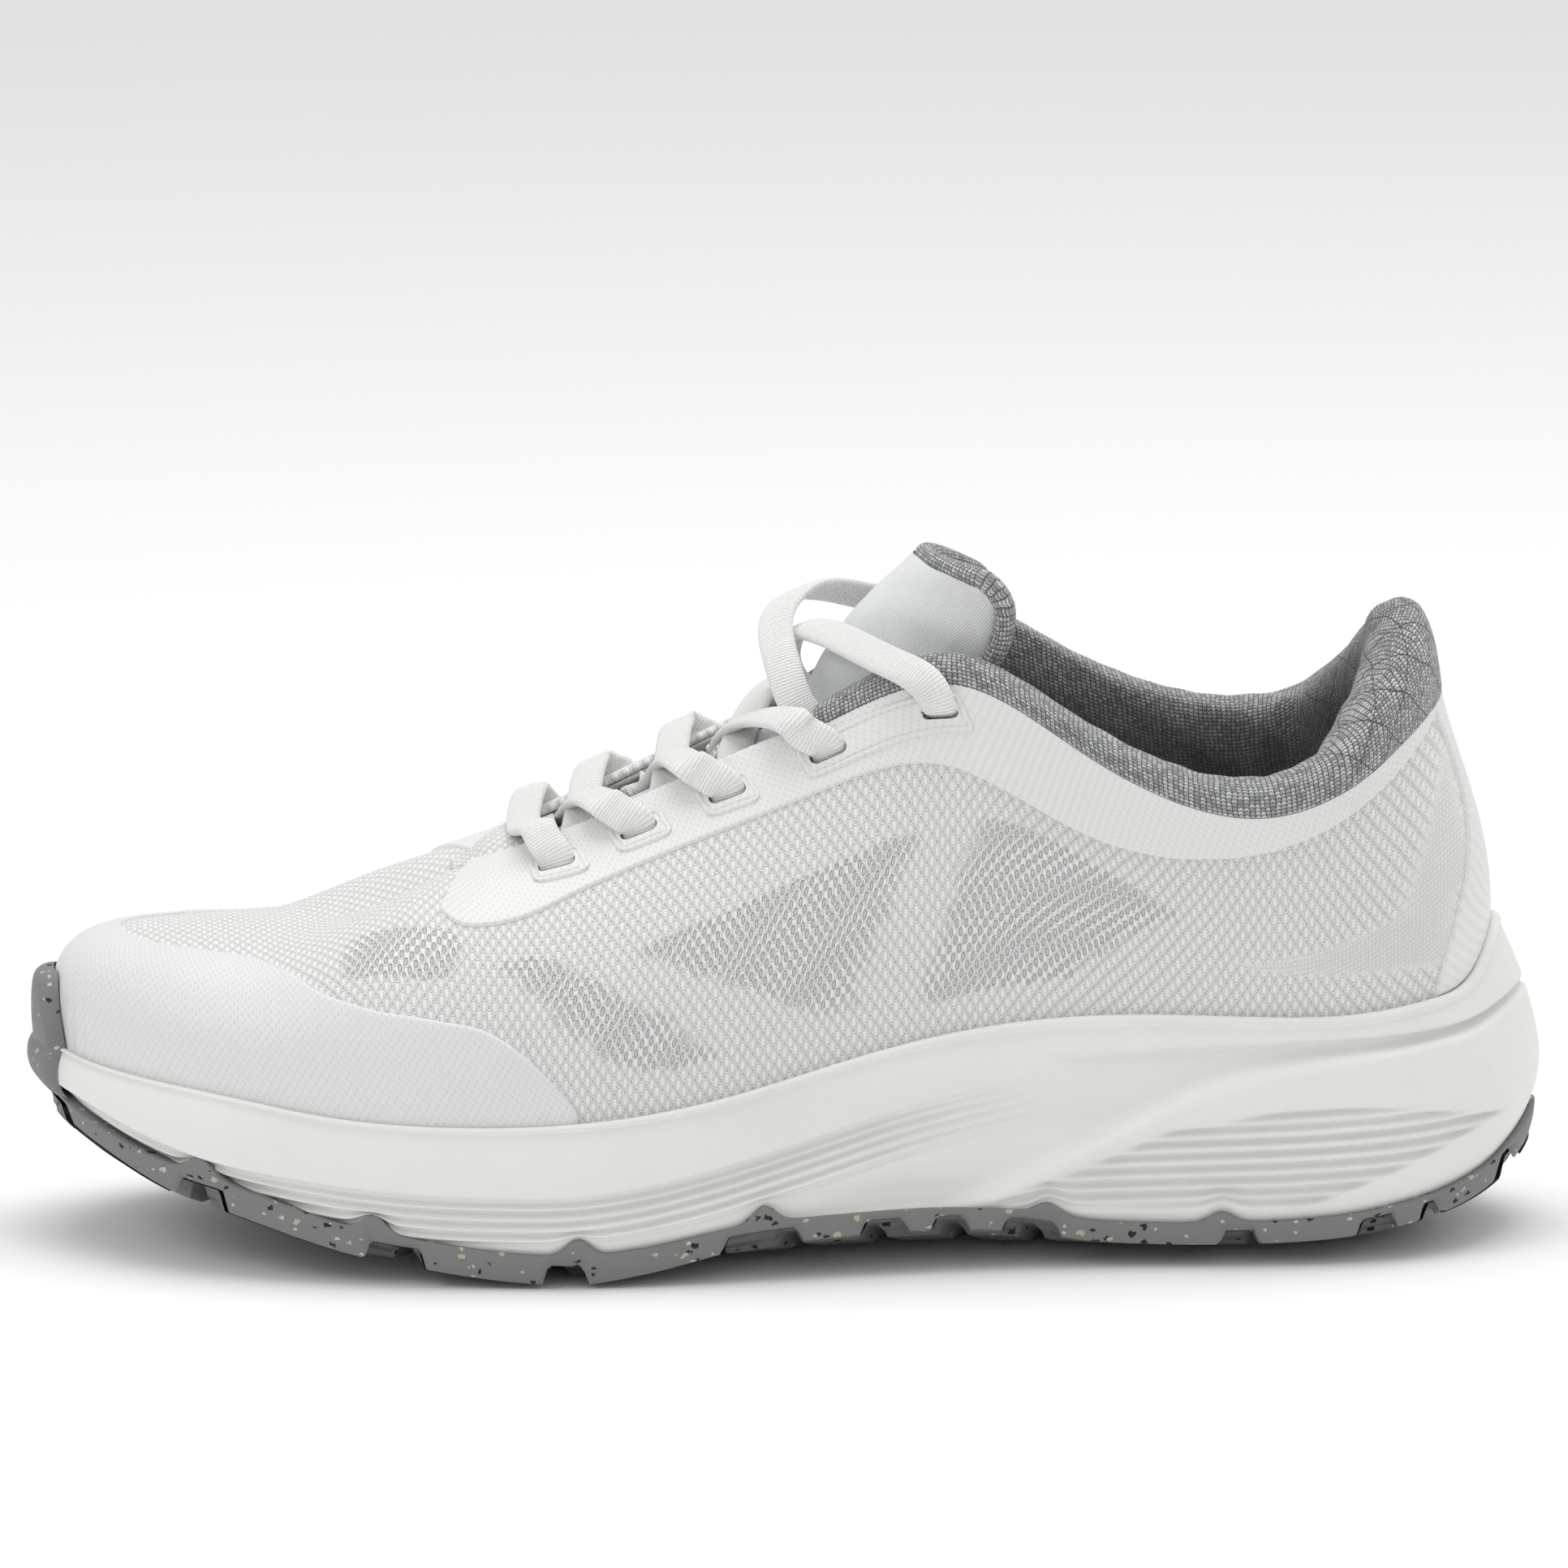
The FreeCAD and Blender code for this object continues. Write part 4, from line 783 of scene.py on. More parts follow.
def slot_frame(number, side):
    """Centre of a lace hole, its direction along the throat, up the wall and outwards."""
    place, rise = EYELETS[number]
    place = sided(place, side)
    step = 0.1 if side == "lateral" else -0.1
    along = unit(wall_point(place + step, rise) - wall_point(place - step, rise))
    outward = wall_normal(place, rise)
    upward = unit(np.cross(outward, along))
    if upward[2] < 0:
        upward = -upward
    return wall_point(place, rise), along, upward, outward


def cut_slots(grid, faces, sides, numbers):
    """Opens the lace holes: drops the faces inside a slot and draws its rim to the slot's outline."""
    vertices = grid.reshape(-1, 3)
    keep = np.ones(len(faces), bool)
    for side in sides:
        for number in numbers:
            centre, along, upward, outward = slot_frame(number, side)
            local = vertices - centre
            a, b, c = local @ along, local @ upward, local @ outward
            core = np.clip(a, -(SLOT_HALF - SLOT_RADIUS), SLOT_HALF - SLOT_RADIUS)
            distance = np.hypot(a - core, b)
            inside = (distance < SLOT_RADIUS) & (np.abs(c) < 6)
            keep &= ~inside[faces].all(axis=1)
            push = np.where(inside, SLOT_RADIUS / np.maximum(distance, 0.2), 1.0)
            a, b = core + (a - core) * push, b * push
            moved = centre + a[:, None] * along + b[:, None] * upward + c[:, None] * outward
            vertices = np.where(inside[:, None], moved, vertices)
    faces = faces[keep]
    used, renumbered = np.unique(faces, return_inverse=True)
    return vertices[used], renumbered.reshape(faces.shape), used


def slotted_piece(name, grid, slot, cloth=None, zones=None, sides=SIDES, numbers=range(5), wrap=False,
                  **facts):
    """A piece from a grid, with the lace holes of the named sides and numbers cut through it."""
    cloth = cloth_of(grid) if cloth is None else cloth
    faces = grid_faces(grid.shape[0], grid.shape[1], wrap)
    vertices, faces, used = cut_slots(grid, faces, sides, numbers)
    zones = {zone: share.ravel()[used] for zone, share in (zones or {}).items()}
    make_piece(name, vertices, faces, slot, cloth=cloth.reshape(-1, 3)[used], zones=zones, **facts)


def knit_places():
    """Places round the shoe, closer together along the throat, where the lace holes are."""
    return np.concatenate([spread(0, 6, 130)[:-1], spread(6, 10.5, 150)[:-1], spread(10.5, 21.5, 210)[:-1],
                           spread(21.5, 26, 150)[:-1], spread(26, 32, 130)[:-1]])


def add_knit():
    """The knit upper from toe to heel, one cloth, with its windows and fine areas."""
    places = knit_places()[:, None]
    rises = np.concatenate([spread(-0.02, 0.7, 44)[:-1], spread(0.7, 1.0, 34)])[None, :]
    grid = wall_point(places, np.maximum(rises, 0.0))
    grid[..., 2] += np.minimum(rises, 0.0) * 60
    girth = np.linalg.norm(np.diff(grid[..., 1:], axis=1), axis=-1)
    from_top = np.cumsum(girth[:, ::-1], axis=1)[:, ::-1]
    from_top = np.concatenate([from_top, np.zeros((len(grid), 1))], axis=1)
    cloth = points(grid[..., 0], from_top, 0.0)
    tip = from_tip(places)
    window = np.zeros(grid.shape[:2])
    fine = np.zeros(grid.shape[:2])
    for corners in WINDOWS:
        window = np.maximum(window, in_patch(tip, rises, corners))
    for corners in FINE_AREAS:
        fine = np.maximum(fine, in_patch(tip, rises, corners))
    slotted_piece("knit_upper", grid, "knit_mesh", cloth, {"window": window, "fine": fine}, wrap=True,
                  replaced=["vamp_mesh", "quarter_mesh_lateral", "quarter_mesh_medial"],
                  thickness=MESH, weld=True)


def add_toe_film():
    """Smooth film over the toe, a little puckered where it stretches round the front."""
    places = spread(-TOE_FILM_END, TOE_FILM_END, 330)[:, None]
    length = 52.0
    share = edge_spacing(length)[None, :]
    top = toe_film_edge(np.abs(places))
    rises = 0.004 + (top - 0.004) * share
    real = np.maximum(np.abs(top) * 62, 1.0)
    lift = rounded_lift(share, real, FILM_OUTER)
    end = 1 - smoothstep(TOE_FILM_END - 0.05, TOE_FILM_END, np.abs(places))
    pucker = 0.12 * np.sin(places * 21) * bell(np.abs(places), 1.6, 1.8) * smoothstep(0.5, 0.0, share)
    grid = skin_point(places, rises, lift * end + pucker)
    grid_piece("toe_film", grid, "toe_film", replaced=["toe_film"], thickness=0.3)


def band_grid(side):
    """Eyestay and collar film of one side, with its front edge leaning forward to the ridge."""
    start = 5.45
    places = np.concatenate([spread(start, 6.2, 70)[:-1], spread(6.2, 10.6, 300)[:-1],
                             spread(10.6, 15.3, 160)])[:, None]
    share = edge_spacing(20.0, edge=0.8, steps=6, middle=40)[None, :]
    low = band_edge(places)
    high = 0.995 - 0.028 * smoothstep(9.2, 9.8, places)
    rises = low + (high - low) * share
    lean = 0.12 * (1 - smoothstep(start, 6.3, places)) * share ** 0.9
    real = np.maximum((1 - low) * 68, 1.0)
    lift = rounded_lift(share, real, FILM_OUTER)
    front = smoothstep(start, start + 0.05, places)
    back = 1 - smoothstep(15.25, 15.3, places)
    lift = lift * np.minimum(front, back) - 0.2 * (1 - np.minimum(front, back))
    return facing(skin_point(sided(places - lean, side), rises, lift), side)


def add_bands():
    for side in SIDES:
        node = "eyestay_film_" + side
        slotted_piece(node, band_grid(side), "white_film", sides=(side,), replaced=[node], thickness=0.35)


def add_backings():
    """Fabric strips inside the knit behind the lace holes."""
    places, rises = spread(6.05, 10.4, 260)[:, None], spread(0.76, 0.985, 40)[None, :]
    for side in SIDES:
        node = "eyestay_backing_" + side
        grid = facing(skin_point(sided(places, side), rises, -MESH - 0.3), side)
        slotted_piece(node, grid, "backing_fabric", sides=(side,), replaced=[node], thickness=0.5)


def add_gusset():
    """Knit that closes the front of the throat, below the film's edge."""
    place = spread(5.1, 6.75, 40)[:, None]
    share = spread(-1, 1, 40)[None, :]
    lateral, medial = wall_point(place, 0.955), wall_point(AROUND - place, 0.955)
    grid = lateral * (0.5 - share[..., None] / 2) + medial * (0.5 + share[..., None] / 2)
    crown = 1.8 * (1 - share ** 2) * smoothstep(5.3, 5.8, place)
    grid[..., 2] -= 0.6 + 1.6 * smoothstep(6.0, 6.75, place) - crown
    grid_piece("throat_gusset", grid[::-1], "knit_mesh", thickness=0.8)


def add_patches():
    """Raised frames round the lace holes: three single ones and one along the upper two."""
    for side in SIDES:
        for first, last in ((0, 0), (1, 1), (2, 2), (3, 4)):
            add_patch(first, last, side)


def add_patch(first, last, side):
    """One frame: a plate with round corners and a fine groove inside its edge."""
    place0, rise0 = EYELETS[first]
    place1, rise1 = EYELETS[last]
    per_place = np.linalg.norm(wall_point(place0 + 0.5, rise0) - wall_point(place0 - 0.5, rise0))
    half = (place1 - place0) / 2 + FRAME_REACH / per_place
    a = spread(-1, 1, 60 if first == last else 130)[:, None]
    b = edge_spacing(9.0, edge=1.4, steps=7, middle=22)[None, :] * 2 - 1
    round_end = 0.35 if first == last else 0.12
    across_by = b * np.sqrt(1 - round_end * a ** 8)
    along_by = a * np.sqrt(1 - round_end * b ** 8)
    middle_place, middle_rise = (place0 + place1) / 2, (rise0 + rise1) / 2
    slope = (rise1 - rise0) / max(place1 - place0, 0.5)
    place = middle_place + half * along_by - 0.05 * across_by
    rise = middle_rise - 0.004 + slope * (place - middle_place) + 0.066 * across_by
    inset = np.minimum((1 - np.abs(a)) * half * per_place, (1 - np.abs(b)) * 4.4)
    lift = FILM_OUTER - 0.15 + 0.75 * np.sqrt(np.clip(inset / 0.5, 0, 1))
    lift = lift - 0.35 * bell(inset, 1.3, 0.45)
    grid = facing(skin_point(sided(place, side), rise, lift), side)
    slotted_piece("eyelet_frame_%s_%d" % (side, first + 1), grid, "white_film", sides=(side,),
                  numbers=range(first, last + 1), replaced=["eyelet_patches_" + side] if first == 0 else [],
                  thickness=0.5)


def add_heel_film():
    """Strip up the back of the heel, spreading at its foot."""
    rises = spread(0.004, 0.985, 150)[:, None]
    share = edge_spacing(30.0, middle=60)[None, :]
    reach = HALF - heel_edge(rises)
    place = HALF + reach * (share * 2 - 1)
    lift = rounded_lift(share, reach * 2 * 14, FILM_OUTER + 0.1)
    ends = smoothstep(0.0, 0.02, np.minimum(rises - 0.004, 0.985 - rises))
    grid = skin_point(place, rises, lift * np.maximum(ends, 0.2))
    grid_piece("heel_film", grid[::-1], "white_film", replaced=["heel_film"], thickness=0.35)


# ------------------------------------------------------------------ collar

COLLAR_START = 8.85
# From place 9 to the heel: height of the roll over the shell, and its depth towards the foot.
ROLL_HEIGHT = [3, 3.5, 4, 4.5, 6, 11, 15.5, 17]
ROLL_DEPTH = [3.4, 4.0, 7.5, 9.5, 10, 10.5, 11, 11]
LINING_LOW_DEPTH = 4.4
roll_height = loop([0] * 9 + ROLL_HEIGHT, level=True)
roll_depth = loop([3.4] * 9 + ROLL_DEPTH, level=True)
LINING_RISES = [0.9, 0.75, 0.6, 0.45, 0.3, 0.18, 0.08]
LINING_DROPS = [4.5, 9.0]


def roll_section(place):
    """Points of the collar's section, from its tucked edge over the roll and down to the insole."""
    top = wall_point(place, 1.0)
    outward = wall_normal(place, 0.97)
    upward = unit(top - wall_point(place, 0.93))
    height, depth = roll_height(place)[..., None], roll_depth(place)[..., None]

    def at(out_by, up_by):
        return top + outward * out_by + upward * up_by
    full = smoothstep(12.3, 14.5, from_tip(place))[..., None]
    rows = [at(-0.2, -3.3), at(0.75, -2.7), at(1.05 + 0.2 * full, 0.1),
            at(0.5 + 1.0 * full, 0.48 * height),
            at((0.16 * full - 0.16) * depth - 0.3, (0.87 + 0.03 * full) * height),
            at(-0.50 * depth, height),
            at((-0.84 - 0.16 * full) * depth, 0.82 * height),
            at((-1.0 - 0.2 * full) * depth, 0.3 * height)]
    for rise in LINING_RISES:
        share = smoothstep(0.25, 0.9, rise)
        inward = LINING_LOW_DEPTH + (roll_depth(place) - LINING_LOW_DEPTH) * share
        rows.append(skin_point(place, np.full(place.shape, rise), -inward))
    for drop in LINING_DROPS:
        rows.append(rows[len(LINING_RISES) + 6] - UP * drop)
    return np.stack(rows, axis=-2)


def through(rows, count):
    """A finer row of points along the smooth curve through each row, evenly spaced."""
    places = spread(0, rows.shape[-2] - 1, count * 4)
    samples = np.empty(rows.shape[:-2] + (len(places), 3))
    for index in np.ndindex(rows.shape[:-2]):
        for axis in range(3):
            samples[index][:, axis] = curve(rows[index][:, axis])(places)
        steps = np.linalg.norm(np.diff(samples[index], axis=0), axis=-1)
        along = np.concatenate([[0], np.cumsum(steps)])
        even = spread(0, along[-1], len(places))
        samples[index] = np.stack([np.interp(even, along, samples[index][:, axis])
                                   for axis in range(3)], -1)
    return samples[..., ::4, :]


def soft_unevenness(grid, depth):
    """Gentle swells of padded cloth: level offsets that wander over about 15 mm."""
    x, y, z = grid[..., 0], grid[..., 1], grid[..., 2]
    swell = (np.sin(x * 0.41 + z * 0.23) * np.sin(y * 0.37 + z * 0.31 + 1.3)
             + 0.5 * np.sin(x * 0.93 + y * 0.71))
    return points(0.0, depth * swell, 0.5 * depth * swell)


def add_collar():
    """Melange knit roll round the collar, and its lining down to the insole."""
    places = spread(COLLAR_START, AROUND - COLLAR_START, 330)
    sections = through(roll_section(places), 70)
    loose = smoothstep(0.08, 0.2, spread(0, 1, sections.shape[1]))[None, :, None]
    sections = sections + soft_unevenness(sections, 0.35) * loose
    cloth = cloth_of(sections)
    faces = grid_faces(sections.shape[0], sections.shape[1])
    share = spread(0, 1, sections.shape[1])[None, :]
    turn = smoothstep(0.16, 0.42, share)
    heel = smoothstep(12.6, 13.6, from_tip(places))[:, None]
    # inner: the turned-in lining, painted darker, partly as its own darker yarn and partly as painted shade
    zones = {"inner": turn * (1 - 0.25 * heel), "quilt": heel * (1 - smoothstep(0.3, 0.5, share))}
    piece = make_piece("collar_lining", sections, faces, "melange_knit", cloth=cloth, zones=zones,
                       replaced=["collar_lining", "collar_foam_lateral", "collar_foam_medial"],
                       thickness=0.8)


# ------------------------------------------------------------------ tongue

# Spine of the tongue: x, z, half width, how far its edges fall, how far its edges sweep back.
TONGUE_ROWS = [
    (-66, 67.5, 13, 3.5, 2),
    (-52, 76.0, 18.5, 7.0, 4),
    (-30, 86.0, 21, 9.5, 6),
    (-10, 96.0, 20, 9.5, 8),
    (2, 105.0, 18, 8.0, 12),
    (8, 115.0, 17, 7.5, 20),
    (16, 126.0, 18.5, 7.0, 25),
    (28.5, 137.6, 22, 3.5, 12.5),
]
TONGUE_TOP = len(TONGUE_ROWS) - 1
TONGUE_THICKNESS = 5.5
tongue_x, tongue_z, tongue_half, tongue_fall, tongue_sweep = (curve(column) for column in zip(*TONGUE_ROWS))


def tongue_outer(along, across):
    """Face of the tongue: along 0 at the toe end, across -1 lateral to +1 medial."""
    bow = across * across
    centre = 2.5 * (1 - smoothstep(0, 4, along))
    droop = 7.0 * smoothstep(4.6, 7, along) * np.clip(across, 0, 1) ** 2
    return points(tongue_x(along) + tongue_sweep(along) * bow, centre + tongue_half(along) * across,
                  tongue_z(along) - tongue_fall(along) * bow - droop)


def tongue_point(along, across, depth=0.0):
    along, across = np.broadcast_arrays(np.asarray(along, float), np.asarray(across, float))
    step = 0.03
    length_way = tongue_outer(along + step, across) - tongue_outer(along - step, across)
    width_way = tongue_outer(along, across + step) - tongue_outer(along, across - step)
    depth = np.asarray(depth, float)[..., None]
    return tongue_outer(along, across) - unit(np.cross(length_way, width_way)) * depth


def tongue_middle(along):
    """Depth of the padding's middle: the tongue thins towards its top."""
    return TONGUE_THICKNESS / 2 * (1 - 0.45 * smoothstep(5.0, 6.8, along))


def across_flex(piece):
    """Bakes the piece's placement into its mesh."""
    low, high = tongue_outer(np.array(3.9), np.array(0.0)), tongue_outer(np.array(4.6), np.array(0.0))
    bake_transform(piece)


def add_tongue():
    """Satin face and knit back of the padded tongue, one cloth over the flex line."""
    along = spread(0, TONGUE_TOP - 0.2, 200)[:, None]
    across = spread(-1, 1, 90)[None, :]
    edge = 1 - np.abs(across)
    thin = np.sqrt(np.clip(edge / 0.16, 0, 1))
    crown = 0.5 * (1 - across ** 4) * smoothstep(0.0, 1.0, along)
    middle = tongue_middle(along)
    front = tongue_point(along, across * 0.97, middle - (middle + crown) * thin)
    front = front + soft_unevenness(front, 0.3)
    back = tongue_point(along, across * 0.97, middle + middle * thin)
    face = grid_piece("tongue_face", front, "tongue_satin", body=None,
                      replaced=["tongue_lower_face", "tongue_flap_face",
                                "tongue_lower_foam", "tongue_flap_foam"])
    across_flex(face)
    lining = grid_piece("tongue_backing", back[:, ::-1], "melange_knit", body=None,
                        replaced=["tongue_lower_backing", "tongue_flap_backing"])
    across_flex(lining)


def tube_grid(path, normals, profile_points):
    """Section points (side, out) swept along a path with the given outward directions."""
    tangent = unit(np.gradient(path, axis=0))
    outward = unit(normals - tangent * np.sum(normals * tangent, axis=-1, keepdims=True))
    side = np.cross(tangent, outward)
    side_by = profile_points[..., 0:1]
    out_by = profile_points[..., 1:2]
    return path[:, None] + side[:, None] * side_by + outward[:, None] * out_by


def add_binding():
    """Knit roll round the flap's edge."""
    rim = []
    for along in spread(3.9, TONGUE_TOP - 0.45, 60):
        rim.append((along, -0.985))
    for turn in spread(0, 1, 14)[1:-1]:
        angle = turn * math.pi / 2
        rim.append((TONGUE_TOP - 0.45 + 0.33 * math.sin(angle), -0.985 + 0.16 * (1 - math.cos(angle))))
    for across in spread(-0.825, 0.825, 50):
        rim.append((TONGUE_TOP - 0.12, across))
    rim += [(along, -across) for along, across in reversed(rim[:72])]
    rim = np.array(rim)
    middle = tongue_middle(rim[:, 0])
    path = tongue_point(rim[:, 0], rim[:, 1], middle)
    outward = tongue_point(rim[:, 0], rim[:, 1], -1.0) - path
    angle = spread(0, 2 * math.pi, 25)[None, :]
    fat = (middle + 0.7)[:, None]
    section = np.stack([2.1 * np.cos(angle) * np.ones_like(fat), fat * np.sin(angle)], axis=-1)
    grid = tube_grid(path, outward, section)
    piece = grid_piece("tongue_binding", grid, "melange_knit", body=None, replaced=["tongue_binding"])
    across_flex(piece)


# ------------------------------------------------------------------ laces

LOOSE_FROM_LATERAL = [(2.5, -12.6, 106.5), (-0.5, -8.5, 114.5), (-2, 1, 121.3), (2, 9.5, 125.3),
                      (9, 16, 125.5), (17.5, 22.5, 122.5), (25.5, 27.8, 118.6)]
LOOSE_FROM_MEDIAL = [(1.5, 12.8, 107.5), (0.5, 8.5, 116.5), (5.5, 0, 120.8), (12, -11, 120.2),
                     (19, -20.5, 118.2), (26, -27.6, 115.8)]
TAIL = [(32.4, 20.6, 105.0), (33.5, 21.3, 96), (36, 22.6, 82), (40, 24, 66), (47, 24.2, 50), (60, 23.2, 42),
        (76, 22.8, 39.3), (92, 22.4, 39.3)]
TAIL_TURN = [0, 0, 0, 0, 0.35, 0.9, 1, 1]
LACE_WIDTH, LACE_THICKNESS = 7.2, 2.5
LACE_ABOVE, LACE_UNDER = 1.0, 4.1
CROSSING_ROWS = [1.25, 1.72, 2.56, 3.36]


def throat_direction():
    low, high = wall_point(*EYELETS[0]), wall_point(*EYELETS[3])
    return unit(np.array([high[0] - low[0], 0, high[2] - low[2]]))


def hole_station(number, side, rise_shift, offset, place_shift=0.0):
    place, rise = EYELETS[number]
    _, along, _, _ = slot_frame(number, side)
    return skin_point(sided(place + place_shift, side), rise + rise_shift, offset), along


def into_hole(number, side):
    """Last stations of a strand that arches over the eyestay and turns down into a hole."""
    over = PATCH_OUTER + LACE_ABOVE
    slant = 0.27 if number else 0.16
    return [hole_station(number, side, 0.16, over + 1.9, -slant),
            hole_station(number, side, 0.105, over + 1.9, -0.66 * slant),
            hole_station(number, side, 0.055, over + 0.9, -0.33 * slant),
            hole_station(number, side, 0.022, over - 0.9),
            hole_station(number, side, 0.0, -0.6), hole_station(number, side, -0.012, -2.6)]


def out_of_hole(number, side):
    """First stations of a strand that leaves the underside of a hole towards the tongue."""
    return [hole_station(number, side, 0.0, -0.5),
            hole_station(number, side, 0.012, -LACE_UNDER + 1.2),
            hole_station(number, side, 0.07, -LACE_UNDER),
            hole_station(number, side, 0.14, -LACE_UNDER - 0.2)]


def opposite(side):
    return "medial" if side == "lateral" else "lateral"


def lace_paths():
    """Name and stations of every stretch of the lace."""
    across = throat_direction()
    crest = tongue_point(CROSSING_ROWS[0] - 0.16, 0.0, -3.9)
    yield "bar", list(reversed(into_hole(0, "lateral"))) + [(crest, across)] + into_hole(0, "medial")
    for number in (1, 2, 3):
        for side in SIDES:
            along = CROSSING_ROWS[number]
            sign = -1 if side == "lateral" else 1
            upper = 1.6 if side == "medial" else 0.0
            near = tongue_point(along - 0.2 - 0.12 * number, 0.62 * sign, -1.8)
            centre = tongue_point(along - 0.02 - 0.06 * number, 0.05 * sign, -3.3 - upper)
            yield ("%d_%s" % (number, side),
                   out_of_hole(number - 1, side) + [(near, across), (centre, across)]
                   + into_hole(number, opposite(side)))
    for side, listed in (("lateral", LOOSE_FROM_LATERAL), ("medial", LOOSE_FROM_MEDIAL)):
        sign = -1 if side == "lateral" else 1
        yield ("loose_" + side,
               out_of_hole(3, side)[:3] + [(np.array(row, float), across) for row in listed]
               + into_hole(4, opposite(side))[3:])
        level = np.array([0.0, -sign, 0.0])
        tail = [hole_station(4, side, 0.0, -0.5), hole_station(4, side, 0.0, -5.0)]
        for (x, y, z), turn in zip(TAIL, TAIL_TURN):
            tail.append((np.array([x, sign * y, z]), across * (1 - turn) + level * turn))
        yield "tail_" + side, tail


def ribbon_section(count=22):
    """Flat section with full round edges: share of the half width, share of the half thickness."""
    angle = spread(0, 2 * math.pi, count + 1)
    side = np.sign(np.cos(angle)) * np.abs(np.cos(angle)) ** 0.8
    out = np.sign(np.sin(angle)) * np.abs(np.sin(angle)) ** 0.8
    return side, out


def ribbon_grid(stations):
    centres = np.array([point for point, _ in stations])
    widths = np.array([width for _, width in stations])
    lengths = np.linalg.norm(np.diff(centres, axis=0), axis=-1).sum()
    places = spread(0, len(stations) - 1, max(30, int(lengths / 0.9)))
    path = np.stack([curve(centres[:, axis])(places) for axis in range(3)], axis=-1)
    numbers = np.arange(len(stations))
    width = np.stack([np.interp(places, numbers, widths[:, axis]) for axis in range(3)], axis=-1)
    for _ in range(14):
        path[1:-1] = (path[:-2] + 2 * path[1:-1] + path[2:]) / 4
        width[1:-1] = (width[:-2] + 2 * width[1:-1] + width[2:]) / 4
    tangent = unit(np.gradient(path, axis=0))
    width = unit(width - tangent * np.sum(width * tangent, axis=-1, keepdims=True))
    outward = np.cross(tangent, width)
    side, out = ribbon_section()
    from_end = np.minimum(np.arange(len(path)), np.arange(len(path))[::-1])[:, None, None] * 0.9
    pinch = 0.84 + 0.16 * smoothstep(1.5, 6.0, from_end)
    sag = 0.08 * np.sin(places * 2.3 + lengths)[:, None, None]
    reach = LACE_WIDTH / 2 * side[None, :, None] * pinch
    cup = sag * (side[None, :, None] ** 2 - 0.4)
    rise = LACE_THICKNESS / 2 * out[None, :, None] * (1.9 - 0.9 * pinch) + cup
    return path[:, None] + width[:, None] * reach + outward[:, None] * rise


def ribbon_cloth(grid):
    """Fabric coordinates of a ribbon: along it, and across its width from edge to edge."""
    centre = grid.mean(axis=1)
    along = np.concatenate([[0], np.cumsum(np.linalg.norm(np.diff(centre, axis=0), axis=-1))])
    side, _ = ribbon_section(grid.shape[1] - 1)
    return points(along[:, None], (side * LACE_WIDTH / 2)[None, :] + 20, 0.0)


def add_lace():
    grids, cloths, faces, count = [], [], [], 0
    for _, stations in lace_paths():
        grid = ribbon_grid(stations)
        grids.append(grid.reshape(-1, 3))
        cloths.append(ribbon_cloth(grid).reshape(-1, 3))
        faces.append(grid_faces(grid.shape[0], grid.shape[1]) + count)
        count += len(grids[-1])
    make_piece("lace", np.concatenate(grids), np.concatenate(faces), "lace_weave", replaced=["lace"],
               cloth=np.concatenate(cloths))


def add_keeper():
    """Ladder-weave loop stitched to the tongue, standing a little proud between its ends."""
    along = spread(2.70, 3.2, 60)
    arch = bell(along, 2.95, 0.25)
    path = tongue_point(along, np.zeros(60) - 0.05, -(0.4 + 1.6 * arch))
    normals = tongue_point(along, np.zeros(60), -1.0) - tongue_point(along, np.zeros(60), 0.0)
    side = spread(-2.2, 2.2, 9)
    section = np.stack([side, np.zeros(9)], axis=-1)[None]
    grid = tube_grid(path, normals, section)
    cloth = cloth_of(grid)
    grid_piece("lace_keeper", grid, "webbing", cloth=cloth, replaced=["lace_keeper"], thickness=0.7)


# ------------------------------------------------------------------ sole

# Middle of the crease under the midsole's smooth upper band: x, z.
CREASE = profile([(-147, 33), (-140, 31), (-134, 28.8), (-116, 23.4), (-93, 20.3), (-77, 19), (-63, 18.6),
                  (-42, 18.9), (-22, 21.9), (5, 28.3), (22, 33), (40, 37.5), (58, 41.2), (72, 43)])
# Width of the valley under the heel's rim band, and the top of the ribbed heel panel.
WING_WIDTH = profile([(45, 24), (70, 15), (93, 8), (110, 5.5), (125, 4), (147, 3)])
PANEL_TOP = profile([(60, 27), (78, 28.6), (99, 31.9), (120, 31), (141, 27)])
WING = profile([(55, 43.0), (74, 43.9), (105, 44.8), (126, 45), (137, 46), (147, 50)])
NOTCHES = [-117, -83, -43, -6, 50, 84]
FOOT_TUCK = 2.5
LUG_PITCH = 15.0
# How far the edge of the tread is bevelled up from the floor, and the height of the rubber at the edge.
EDGE_RISE = profile([(-150, 4), (-138, 4.6), (-121, 3.8), (-112, 4.2), (-84, 2.4), (-74, 2.2), (-49, 0.8),
                     (-42, 0.8), (-30, 2.4), (-10, 5.6), (10, 6.4), (45, 6.6), (60, 5), (105, 5),
                     (120, 5), (132, 4), (142, 2.5), (150, 1.5)])
BAND = profile([(-150, 3), (-138, 3), (-121, 4.6), (-89, 4.6), (-40, 4.6), (-12, 3.6), (105, 3.5), (135, 4),
                (150, 4.5)])
# Share of the rubber's height at the edge that is tread.
TREAD = 0.8
# Spans of the lugs along the sole's edge.
LUGS = [(-143, -121), (-112.7, -84), (-74, -49), (-42, -13.5), (0.5, 14), (21.5, 28), (33.5, 42), (51.5, 84.5),
        (90.5, 112), (118.5, 125), (127.5, 141.5), (144, 150)]
# Share of the sole wall's height at which it is widest.
WIDEST = 0.35
RIM = 1.6


def notch(x):
    """Height of the scallops cut into the midsole's lower edge."""
    return sum(np.where(x < 20, 3.4, 2.2) * np.exp(-((x - at) / 3.2) ** 2) for at in NOTCHES)


